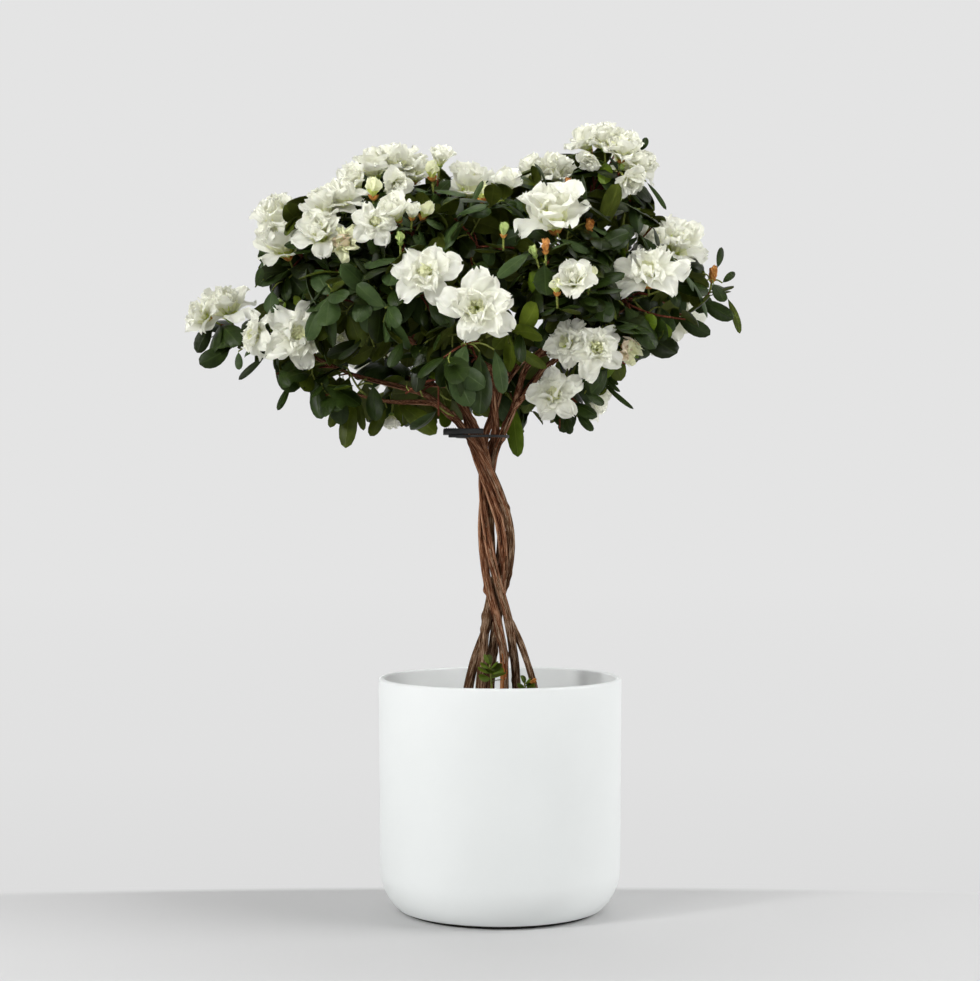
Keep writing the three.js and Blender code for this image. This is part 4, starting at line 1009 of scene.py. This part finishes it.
class Crown:
    """The whole crown's twigs, leaves and flowers, and what new leaves keep clear of."""

    def __init__(self):
        self.twigs, self.leaves, self.blossom = Pile(), Pile(), Pile()
        self.wood = []
        rows = [row for flowers in FLOWERS.values() for row in flowers]
        self.middles = np.array([row[0] for row in rows], float)
        facings = np.array([way_from(row[1], row[2]) for row in rows])
        outward = self.middles - CROWN_HEART
        outward /= np.linalg.norm(outward, axis=1)[:, None]
        self.views = facings + outward
        self.views /= np.linalg.norm(self.views, axis=1)[:, None]
        self.widths = np.array([max(9.0, row[3]) for row in rows], float)
        limbs = [smooth_path(path, 4) for path, _ in [*stems.values(), *boughs.values()]]
        self.limbs = np.vstack(limbs)

    def roomy(self, points, centre, reach):
        """Whether a leaf keeps within its mass and clear of limbs and of every flower's view out."""
        if np.linalg.norm(points - centre, axis=1).max() > reach or not within(OUTLINE, points).all():
            return False
        in_front = points[:, 1].mean() < BACK_OF_OPENINGS
        if in_front and any(within(opening, points).any() for opening in OPENINGS):
            return False
        apart = points[:, None] - self.middles[None]
        ahead = np.clip(np.einsum("pfi,fi->pf", apart, self.views), 0, self.widths * CLEAR_AHEAD)
        beside = np.linalg.norm(apart - ahead[..., None] * self.views[None], axis=2)
        if (beside < CLEAR_BESIDE * self.widths).any():
            return False
        return np.linalg.norm(points[:, None] - self.limbs[None], axis=2).min() > CLEAR_OF_LIMB

    def whorl(self, tip, way, count, space, growth, hang=0.0, size=1.0, young=0.0):
        """Leaves round a shoot's tip; one that has no room is turned aside and shortened, or left out."""
        centre, reach = space
        u, v = cross_axes(way)
        spin = growth.between(0, 360)
        chance = growth.next()
        low_painted_backlit = tip[2] < LOW_PAINTED_BACKLIGHT_TIP
        # Low leaves get more olive faces and paler backs: partly their own colour, partly painted light
        # shining through them from behind.
        shares = ((OLIVE_LEAF, 0.4), (DEEP_LEAF, 0.75), (DARK_LEAF, 0.9)) if low_painted_backlit else (
            (DARK_LEAF, 0.4), (DEEP_LEAF, 0.7), (OLIVE_LEAF, 0.8))
        face = next((kind for kind, share in shares if chance < share), GREY_PAINTED_SHEEN_LEAF)
        if young and growth.next() < young:
            face = FRESH_LEAF
        back = PALE_BACK if face == FRESH_LEAF or low_painted_backlit and growth.next() < 0.35 else DULL_BACK
        # Leaves under the big front flowers turn deep green: painted shade.
        if face in (OLIVE_LEAF, FRESH_LEAF) and painted_shade_under_front_flowers(tip):
            face = DEEP_LEAF
        for k in range(count):
            full = LEAF_LONG * size * growth.between(0.66, 1.06)
            opened = math.radians(growth.between(48, 88))
            sag = growth.between(0.05, 0.45) + hang
            for aside, share in ((0, 1), (28, 0.95), (-28, 0.9), (55, 0.8), (-55, 0.7)):
                turn = math.radians(spin + LEAF_TURN * k + aside)
                side = u * math.cos(turn) + v * math.sin(turn)
                out = way * math.cos(opened) + side * math.sin(opened)
                out[2] -= sag
                root = tip - way * (0.5 + 1.1 * k)
                top, below = blade(root, unit(out), way + np.array([0, 0, 0.9]), full * share, growth)
                if self.roomy(top[BLADE_FEEL], centre, reach):
                    own = face if growth.next() < 0.8 else DEEP_LEAF
                    add_blade(self.leaves, top, below, own, back)
                    break

    def twig(self, points, from_radius, to_radius, slot=YOUNG_BARK):
        path = smooth_path(points, 4)
        add_tube(self.twigs, path, np.linspace(from_radius, to_radius, len(path)), 6, slot)
        self.wood.append(path)
        return path

    def grow_shade(self, path, growth):
        """Dark leaves on short shoots along a bough's outer half, in the crown's own shade."""
        for share in (0.5, 0.75, 0.97):
            fork = path[int((len(path) - 1) * share)]
            if fork[2] < LOWEST_SHADE:
                continue
            way = unit(fork - CROWN_HEART + np.array([0, 0, 30]))
            for turn in (-50, 40):
                a = math.radians(turn + growth.between(-25, 25))
                aside = np.array([way[0] * math.cos(a) - way[1] * math.sin(a),
                                  way[0] * math.sin(a) + way[1] * math.cos(a),
                                  way[2] + growth.between(-0.3, 0.3)])
                tip = fork + unit(aside) * growth.between(16, 30)
                self.twig([fork, (fork + tip) / 2 + (0, 0, 2), tip], 0.9, 0.65)
                self.whorl(tip, unit(aside), 4, (tip, 60), growth)

    def grow_mass(self, mass, bough_tip, bough_way, growth):
        """Main stem, a twig to every flower, and forking leafy shoots that fill the mass's reach."""
        centre, reach = mass_space(mass)
        reach += 4
        space = (centre, reach)
        outward = unit(centre - CROWN_HEART)
        hub = centre - outward * 0.25 * reach
        bend = (bough_tip + hub) / 2 + bough_way * 3
        stem = self.twig([bough_tip - bough_way * 4, bough_tip, bend, hub], 1.7, 1.25, RED_BARK)
        hang = 0.42 if centre[2] < LOW_MASS else 0.0
        flowers = FLOWERS.get(mass, [])
        for middle, bearing, lift, width, stage in flowers:
            facing = way_from(bearing, lift)
            base = flower_base(middle, facing, width, stage)
            start = stem[int(len(stem) * growth.between(0.6, 0.98))]
            bow = (start + base) / 2 - facing * 4 + np.array([0, 0, growth.between(-3, 3)])
            self.twig([start, bow, base - facing * 9], 1.0, 0.85)
            self.twig([base - facing * 10, base - facing * 5, base], 0.85, 0.9, GREEN_BARK)
            add_flower(self.blossom, base, facing, width, stage, growth)
            if stage != "half" or width > 24:
                count = 6 if width > 9 else 5
                size = 0.95 if width > 20 else 0.62
                self.whorl(base - facing * 7, facing, count, space, growth, hang, size, 0.12)
        taken = [unit(np.asarray(row[0], float) - centre) for row in flowers]
        for way in shoot_ways(outward, taken, LOOSE_MASSES.get(mass, 6), growth):
            tip = centre + way * reach * growth.between(0.5, 0.64)
            while not within(OUTLINE, tip[None])[0] and np.linalg.norm(tip - centre) > 8:
                tip = centre + (tip - centre) * 0.8
            start = stem[int(len(stem) * growth.between(0.45, 0.98))]
            bow = (start + tip) / 2 + np.array([0, 0, growth.between(-4, 5)])
            shoot = self.twig([start, bow, tip], 1.0, 0.7, YOUNG_BARK if growth.next() < 0.6 else GREEN_BARK)
            self.whorl(tip, way, 5, space, growth, hang, 1.0, 0.05)
            for share in (0.45, 0.75):
                fork = shoot[int(len(shoot) * share)]
                u, v = cross_axes(way)
                turn = growth.between(0, 2 * math.pi)
                branch = unit(way * 0.7 + u * math.cos(turn) + v * math.sin(turn) + np.array([0, 0, 0.1]))
                end = fork + branch * reach * growth.between(0.2, 0.36)
                if not within(OUTLINE, end[None])[0]:
                    continue
                self.twig([fork, (fork + end) / 2 + way * 1.5, end], 0.8, 0.6, GREEN_BARK)
                self.whorl(end, branch, 3, space, growth, hang, 0.9, 0.06)


def hang_single_leaves(crown):
    """Each of these leaves gets a short twig from the nearest wood."""
    growth = Growth(77)
    wood = np.vstack(crown.wood)
    for foot, tip, width, face in SINGLE_LEAVES:
        foot, tip = np.array(foot, float), np.array(tip, float)
        out = unit(tip - foot)
        away = np.linalg.norm(wood - foot, axis=1) + 30 * np.maximum(0, (wood - foot) @ out / 20)
        start = wood[np.argmin(away)]
        crown.twig([start, (start + foot) / 2 + (0, 0, 2), foot], 0.75, 0.6, GREEN_BARK)
        length = np.linalg.norm(tip - foot) * 1.08
        front = np.array([growth.between(-0.3, 0.3), -1.0, 0.35])
        back = PALE_BACK if face == FRESH_LEAF else DULL_BACK
        top, below = blade(foot, out + front * 0.15, front, length, growth, width / length, 0.35)
        add_blade(crown.leaves, top, below, face, back)


def grow_crown():
    crown = Crown()
    seed = 4100
    for carried in PLANT.values():
        for bough, masses in carried.items():
            centres, _ = boughs[bough]
            way = unit(centres[-1] - centres[-2])
            crown.grow_shade(smooth_path(centres, 2), Growth(seed + 50))
            for mass in masses:
                crown.grow_mass(mass, centres[-1], way, Growth(seed))
                seed += 97
    hang_single_leaves(crown)
    return crown


# ---------------------------------------------------------------- pot, soil, clip and basal shoots


def turned_piece(name, profile, finish, sides=192):
    """A turned body from a profile of (radius, height) pairs."""
    turns = np.linspace(0, 2 * math.pi, sides, endpoint=False)
    points = [(r * math.cos(t), r * math.sin(t), z) for r, z in profile for t in turns]
    pile = Pile()
    pile.add(np.array(points), grid_faces(len(profile), sides, closed=True), 0,
             grid_marks(len(profile), sides))
    return pile.build(name, [finish])[0]


def arc(centre, radius, start, end, count):
    angles = np.radians(np.linspace(start, end, count))
    return [(centre[0] + radius * math.cos(a), centre[1] + radius * math.sin(a)) for a in angles]


def make_pot():
    """Straight-sided pot: a wide rounded foot, a softly rounded rim, a recessed ring below, near black as
    painted contact shadow.
    """
    rim, _, height = box_mm("pot")[1]
    wall, lip, corner = 4.5, 1.9, 43.0
    sweep, shoulder = 54.5, rim - 1.2
    rise = corner * math.sin(math.radians(sweep))
    middle = (shoulder - corner, rise)
    inner_floor = -math.degrees(math.asin((rise - 7) / (corner - wall)))
    profile = [(0.01, 3.1), (80.0, 3.1)]
    profile += arc(middle, corner, -sweep + 6.7, 0, 22)
    profile += [(shoulder + (rim - shoulder) * t, rise + (height - lip - rise) * t)
                for t in (0.25, 0.5, 0.75, 1)]
    profile += arc((rim - lip, height - lip), lip, 8, 90, 7)
    profile += arc((rim - wall + 1.6, height - 1.6), 1.6, 96, 180, 6)
    profile += [(rim - wall - 0.4, height * 0.6), (shoulder - wall, rise + 1)]
    profile += arc(middle, corner - wall, 0, inner_floor, 8)
    profile += [(0.01, 7.0)]
    # The foot ring is near black: painted contact shadow under the pot.
    ring = [(70.0, 3.3), (70.0, 0.4), (70.4, 0.0), (78.6, 0.0), (79.0, 0.4), (79.0, 3.3)]
    body = turned_piece("pot_body", profile, matt_glazed_ceramic())
    return body, turned_piece("pot_foot", ring, dark_foot_painted_shade())


def make_soil():
    """Uneven peat across the pot, strewn with loose crumbs and bark chips."""
    rim, _, top = box_mm("soil")[1]
    chance = np.random.default_rng(7)
    rings, sides = 42, 120
    radii = np.concatenate([np.linspace(0.01, rim, rings), [rim]])
    heights = np.zeros((rings + 1, sides))
    turn = np.linspace(0, 2 * math.pi, sides, endpoint=False)
    for _ in range(60):
        x, y = chance.uniform(-rim, rim, 2)
        wide = chance.uniform(4, 18)
        gap = (radii[:, None] * np.cos(turn) - x) ** 2 + (radii[:, None] * np.sin(turn) - y) ** 2
        heights += chance.uniform(-1.1, 1.1) * np.exp(-gap / wide**2)
    heights += chance.uniform(-0.35, 0.35, heights.shape)
    heights[0] = heights[0].mean()
    heights[-1] = -12
    points = np.stack([radii[:, None] * np.cos(turn), radii[:, None] * np.sin(turn), top - 1.2 + heights],
                      axis=-1)
    pile = Pile()
    pile.add(points.reshape(-1, 3), grid_faces(rings + 1, sides, closed=True), 0,
             grid_marks(rings + 1, sides))
    lump = np.array([[1, 0, 0], [0, 1, 0], [-1, 0, 0], [0, -1, 0], [0, 0, 1], [0, 0, -1]], float)
    lump_faces = np.array([[0, 1, 4], [1, 2, 4], [2, 3, 4], [3, 0, 4],
                           [1, 0, 5], [2, 1, 5], [3, 2, 5], [0, 3, 5]])
    crumbs = Pile()
    for _ in range(1500):
        angle = chance.uniform(0, 2 * math.pi)
        away = (rim - 3) * math.sqrt(chance.uniform(0, 1))
        size = chance.uniform(0.7, 2.4) * np.array([1, chance.uniform(0.5, 1), chance.uniform(0.4, 0.8)])
        spin = chance.uniform(0, math.pi)
        shape = lump * size * chance.uniform(0.8, 1.2, (6, 1))
        shape = np.stack([shape[:, 0] * math.cos(spin) - shape[:, 1] * math.sin(spin),
                          shape[:, 0] * math.sin(spin) + shape[:, 1] * math.cos(spin), shape[:, 2]], axis=-1)
        shape += (away * math.cos(angle), away * math.sin(angle), top - 0.6 + chance.uniform(-0.8, 0.7))
        crumbs.add(shape, lump_faces, int(chance.integers(0, 3)), None)
    bed = pile.build("peat_bed", [peat("damp_dark_peat", "#1E1611", "#35271E", 4)])
    crumb_finishes = [peat("dark_peat_crumb", "#1C140F", "#31241B", 2),
                      peat("brown_peat_crumb", "#3A2A1E", "#57402E", 2),
                      peat("bark_chip", "#5E4732", "#83684B", 2)]
    return bed + crumbs.build("peat_crumbs", crumb_finishes, smooth=False)


def bar(pile, start, end, wide, high, rounding=0.5):
    """A moulded bar with rounded long edges, tapering a little at both ends."""
    corners = []
    for cx, cz, first in ((1, 1, 0), (-1, 1, 90), (-1, -1, 180), (1, -1, 270)):
        for a in np.radians([first, first + 30, first + 60, first + 90]):
            corners.append((cx * (wide / 2 - rounding) + rounding * math.cos(a),
                            cz * (high / 2 - rounding) + rounding * math.sin(a)))
    corners = np.array(corners)
    way = unit(end - start)
    side = unit(np.cross(way, np.array([0, 0, 1.0])))
    up = np.cross(side, way)
    places = [(0, 0.02), (0, 0.8), (0.02, 1), (0.98, 1), (1, 0.8), (1, 0.02)]
    points = [start + (end - start) * t + side * x * s + up * z * s for t, s in places for x, z in corners]
    pile.add(np.array(points), grid_faces(len(places), len(corners), closed=True), 0,
             grid_marks(len(places), len(corners)))


def make_clip():
    """Spring clip under the crown: a band round the stems, two ribbed grips and the coil between them."""
    low, high = box_mm("stem_clip")
    middle_z = (low[2] + high[2]) / 2
    centre = np.array([(low[0] + high[0]) / 2 + 4.8, (low[1] + high[1]) / 2, middle_z])
    wide, deep = 21.4, (high[1] - low[1]) / 2 - 0.8
    left = centre[0] - wide
    pile = Pile()
    for start, end in ((6, 178), (182, 354)):
        jaw = []
        for a in np.radians(np.linspace(start, end, 40) + 180):
            for across, tall in ((-0.7, -1.0), (0.5, -1.1), (0.8, -0.8), (0.8, 0.8), (0.5, 1.1), (-0.7, 1.0)):
                jaw.append(centre + (math.cos(a) * (wide + across), math.sin(a) * (deep + across),
                                     tall - 2.3))
        pile.add(np.array(jaw), grid_faces(40, 6, closed=True), 0, grid_marks(40, 6))
    front = low[1] + 2.8
    plates = (((low[0] + 4, front), (centre[0] + 1, front - 0.4), 1.6, 4.4),
              ((low[0] + 8, front + 0.6), (centre[0] - 11, front + 0.4), -2.3, 2.6),
              ((low[0] + 4, centre[1]), (left + 6, centre[1] - 4), 1.4, 4.2))
    for (from_x, from_y), (to_x, to_y), lift, tall in plates:
        start = np.array([from_x, from_y, middle_z + lift])
        end = np.array([to_x, to_y, middle_z + lift])
        bar(pile, start, end, 4.6, tall)
    root = np.array([low[0] + 6, centre[1] + 2, middle_z + 1.2])
    bar(pile, root, np.array([low[0] + 7, front - 1, middle_z + 1.2]), 6.0, 4.6)
    for k in range(5):
        rib = np.array([low[0] + 6 + 1.8 * k, centre[1], middle_z + 4.6])
        bar(pile, rib - (0, 2.8, 0), rib + (0, 2.8, 0), 0.8, 0.8, 0.2)
    turns = np.linspace(0, 8 * math.pi, 96)
    coil = np.stack([left - 1.5 + 1.2 * np.cos(turns), centre[1] - 2.5 + 5 * turns / turns[-1],
                     middle_z + 0.1 + 1.2 * np.sin(turns)], axis=-1)
    add_tube(pile, coil, np.full(96, 0.3), 6, 0)
    return pile.build("clip_body", [moulded_black_plastic()])[0]


def make_basal_shoot(name, leaf_mm, seed):
    """A leafy sucker from the foot of the stems: a short stalk with a tuft of small fresh leaves."""
    low, high = box_mm(f"basal_shoot_{name}")
    middle = (low + high) / 2
    root = np.array([middle[0], middle[1], low[2] - 1])
    tip = np.array([middle[0], middle[1], high[2] - 5])
    growth = Growth(seed)
    stalks, leaves, bud = Pile(), Pile(), Pile()
    path = smooth_path([root, (root + tip) / 2 + (1.5, -1, 0), tip], 2)
    add_tube(stalks, path, np.linspace(1.0, 0.6, len(path)), 8, GREEN_BARK)
    for k in range(11):
        share = k / 10
        turn = math.radians(-60 + LEAF_TURN * k)
        out = unit([math.cos(turn), math.sin(turn) * 0.5 - 0.5, 0.25 + 1.2 * share**2])
        start = path[int((len(path) - 1) * (0.7 + 0.3 * share))]
        length = leaf_mm * growth.between(0.75, 1) * (1 - 0.3 * share)
        top, below = blade(start, out, np.array([0, -0.7, 1.0]), length, growth, 0.62, 0.5)
        add_blade(leaves, top, below, FRESH_LEAF if k % 3 else OLIVE_LEAF, PALE_BACK)
    made = stalks.build(f"basal_stalk_{name}", BARK) + leaves.build(f"basal_leaves_{name}", LEAF_SKINS)
    if name == "right":
        add_flower(bud, tip + (5, -5, 0), way_from(60, 30), 4.5, "scale", growth)
        made += bud.build("basal_bud", PETAL_SKINS)
    return made


# ---------------------------------------------------------------- put together


def place(piece, slot, *nodes):
    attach(piece, "root")
    if nodes:
        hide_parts(*nodes)


mass_nodes = [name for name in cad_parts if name.startswith("mass_")]
limb_nodes = [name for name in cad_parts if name.startswith(("stem_left", "stem_right", "bough_"))]

for pot_piece in make_pot():
    place(pot_piece, "pot_ceramic", "pot")
for soil_piece in make_soil():
    place(soil_piece, "potting_soil", "soil")
for bark_piece in grow_bark().build("stem_bark", BARK):
    place(bark_piece, "azalea_stem", *limb_nodes)
place(make_clip(), "clip_plastic", "stem_clip")
for side, leaf_mm, seed in (("left", 16, 900), ("right", 11, 901)):
    for shoot_piece in make_basal_shoot(side, leaf_mm, seed):
        place(shoot_piece, "young_shoot", f"basal_shoot_{side}")

crown = grow_crown()
for twig_piece in crown.twigs.build("crown_twigs", BARK):
    place(twig_piece, "azalea_crown", *mass_nodes)
for leaf_piece in crown.leaves.build("crown_leaves", LEAF_SKINS):
    place(leaf_piece, "azalea_crown", *mass_nodes)
for flower_piece in crown.blossom.build("crown_flowers", PETAL_SKINS):
    place(flower_piece, "azalea_crown", *mass_nodes)


# ---------------------------------------------------------------- stage, light and camera


# The board ends that far behind the pot's axis, in a shallow arc of that radius.
BOARD_EDGE = 84.0
BOARD_REACH = 3700.0
# To the sides it gives way to paper between these distances, in metres, on a floor of this radius.
BOARD_SIDES = (1.2, 2.2)
FLOOR_REACH = 40


def painted_stage():
    """A matt grey board under the pot and in front, then pale paper that is evenly lit, with no sheen."""
    finish, tree = new_finish("matt_grey_board_on_pale_paper")
    spot = add_node(tree, "ShaderNodeTexCoord").outputs["Object"]
    behind = add_node(tree, "ShaderNodeMapping", {"Location": (0, (BOARD_REACH - BOARD_EDGE) * MM, 0)},
                      {"Vector": spot})
    away = add_node(tree, "ShaderNodeVectorMath", links={0: behind.outputs["Vector"]}, operation="LENGTH")
    past = add_node(tree, "ShaderNodeMapRange",
                    {"From Min": (BOARD_REACH - 12) * MM, "From Max": (BOARD_REACH + 10) * MM},
                    {"Value": away.outputs["Value"]}, interpolation_type="SMOOTHSTEP")
    aside = add_node(tree, "ShaderNodeVectorMath", links={0: spot}, operation="LENGTH")
    beyond = add_node(tree, "ShaderNodeMapRange", {"From Min": BOARD_SIDES[0], "From Max": BOARD_SIDES[1]},
                      {"Value": aside.outputs["Value"]}, interpolation_type="SMOOTHSTEP")
    paper_share = add_node(tree, "ShaderNodeMath",
                           links={0: past.outputs["Result"], 1: beyond.outputs["Result"]},
                           operation="MAXIMUM")
    board = add_node(tree, "ShaderNodeBsdfPrincipled", {"Base Color": linear("#D3D3D3"), "Roughness": 0.75})
    depth = add_node(tree, "ShaderNodeMapRange", {"From Min": BOARD_REACH * MM, "From Max": 9.0},
                     {"Value": away.outputs["Value"]})
    fade = add_node(tree, "ShaderNodeValToRGB", links={"Fac": depth.outputs["Result"]})
    fade.color_ramp.elements[0].color = linear("#DDDDDD")
    fade.color_ramp.elements[1].color = linear("#E4E4E4")
    fade.color_ramp.elements.new(0.15).color = linear("#E1E1E1")
    paper = add_node(tree, "ShaderNodeEmission", links={"Color": fade.outputs["Color"]})
    both = add_node(tree, "ShaderNodeMixShader",
                    links={0: paper_share.outputs[0], 1: board.outputs["BSDF"], 2: paper.outputs["Emission"]})
    add_node(tree, "ShaderNodeOutputMaterial", links={"Surface": both.outputs["Shader"]})
    return finish


def make_stage():
    """A wide plain floor: a grey board that ends a little behind the pot, then pale paper."""
    turns = np.linspace(0, 2 * math.pi, 256, endpoint=False)
    rim = [(FLOOR_REACH * math.cos(t), FLOOR_REACH * math.sin(t), 0.0) for t in turns]
    mesh = bpy.data.meshes.new("floor")
    mesh.from_pydata(rim, [], [list(range(len(rim)))])
    mesh.materials.append(painted_stage())
    floor = put_in_scene("floor", mesh)
    floor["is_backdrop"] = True


def soft_box(name, at, aim, size, power, spread=180):
    """A round soft light: places and size in metres, power in watts, spread in degrees."""
    light = bpy.data.lights.new(name, "AREA")
    light.shape = "DISK"
    light.size = size
    light.energy = power
    light.spread = math.radians(spread)
    lamp = put_in_scene(name, light)
    lamp.location = at
    lamp.rotation_euler = (Vector(aim) - Vector(at)).to_track_quat("-Z", "Y").to_euler()


def make_light():
    """An evenly pale room that lights the plant from behind, with soft lights on either hand and overhead.
    Seen directly, the room is evenly pale."""
    world = bpy.data.worlds.new("soft_room")
    world.use_nodes = True
    tree = world.node_tree
    tree.nodes.clear()
    way = add_node(tree, "ShaderNodeTexCoord").outputs["Generated"]
    parts = add_node(tree, "ShaderNodeSeparateXYZ", links={"Vector": way})
    back = add_node(tree, "ShaderNodeMapRange", {"From Min": 0.3, "From Max": 0.8},
                    {"Value": parts.outputs["Y"]}, interpolation_type="SMOOTHSTEP")
    above = add_node(tree, "ShaderNodeMapRange", {"From Min": 0.25, "From Max": 0.6, "To Max": 0.21},
                     {"Value": parts.outputs["Z"]}, interpolation_type="SMOOTHSTEP")
    power = add_node(tree, "ShaderNodeMix", {3: 1.0}, {0: back.outputs["Result"], 2: above.outputs["Result"]})
    seen = add_node(tree, "ShaderNodeLightPath")
    even = add_node(tree, "ShaderNodeMath", links={0: power.outputs[0], 1: seen.outputs["Is Camera Ray"]},
                    operation="MAXIMUM")
    room = add_node(tree, "ShaderNodeBackground", {"Color": linear("#E4E4E4")}, {"Strength": even.outputs[0]})
    add_node(tree, "ShaderNodeOutputWorld", links={"Surface": room.outputs["Background"]})
    bpy.context.scene.world = world
    at_stems, at_crown, at_low_flowers = (0, 0, 0.4), (0, 0, 0.6), (0.11, -0.08, 0.48)
    for light in (
        ("low_left_key_light", (-2.19, -1.54, 1.22), at_stems, 0.4, 31.5),
        ("left_light", (-2.55, -0.68, 1.53), at_stems, 1.35, 3.2),
        ("front_left_light", (-1.47, -1.76, 2.0), at_stems, 0.9, 16),
        ("front_light", (-0.3, -2.7, 1.15), at_stems, 0.9, 6.0),
        ("right_light", (2.65, -0.6, 1.65), at_stems, 2.2, 62),
        ("overhead_light", (0.0, 0.1, 2.1), at_stems, 1.2, 12),
        ("crown_light", (-0.7, -1.4, 1.35), at_crown, 0.35, 0.3, 26),
        ("low_crown_light", (0.55, -1.8, 0.9), at_low_flowers, 0.35, 0.06, 12),
    ):
        soft_box(*light)


def make_camera():
    """At the height of the stem, a little to the left of the pot's axis, looking level."""
    lens = bpy.data.cameras.new("camera")
    lens.sensor_fit = "HORIZONTAL"
    lens.sensor_width = 36
    lens.lens = 73.5
    lens.clip_start, lens.clip_end = 0.05, 100
    camera = put_in_scene("camera", lens)
    camera.location = FRONT_EYE * MM
    camera.rotation_euler = (math.pi / 2, 0, 0)
    bpy.context.scene.camera = camera


make_stage()
make_light()
make_camera()
bpy.context.scene.view_settings.view_transform = "Standard"


def corners(box):
    return [[float(value) for value in corner] for corner in box]


{"cad": corners(CAD_BOX), "visual": corners(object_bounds())}
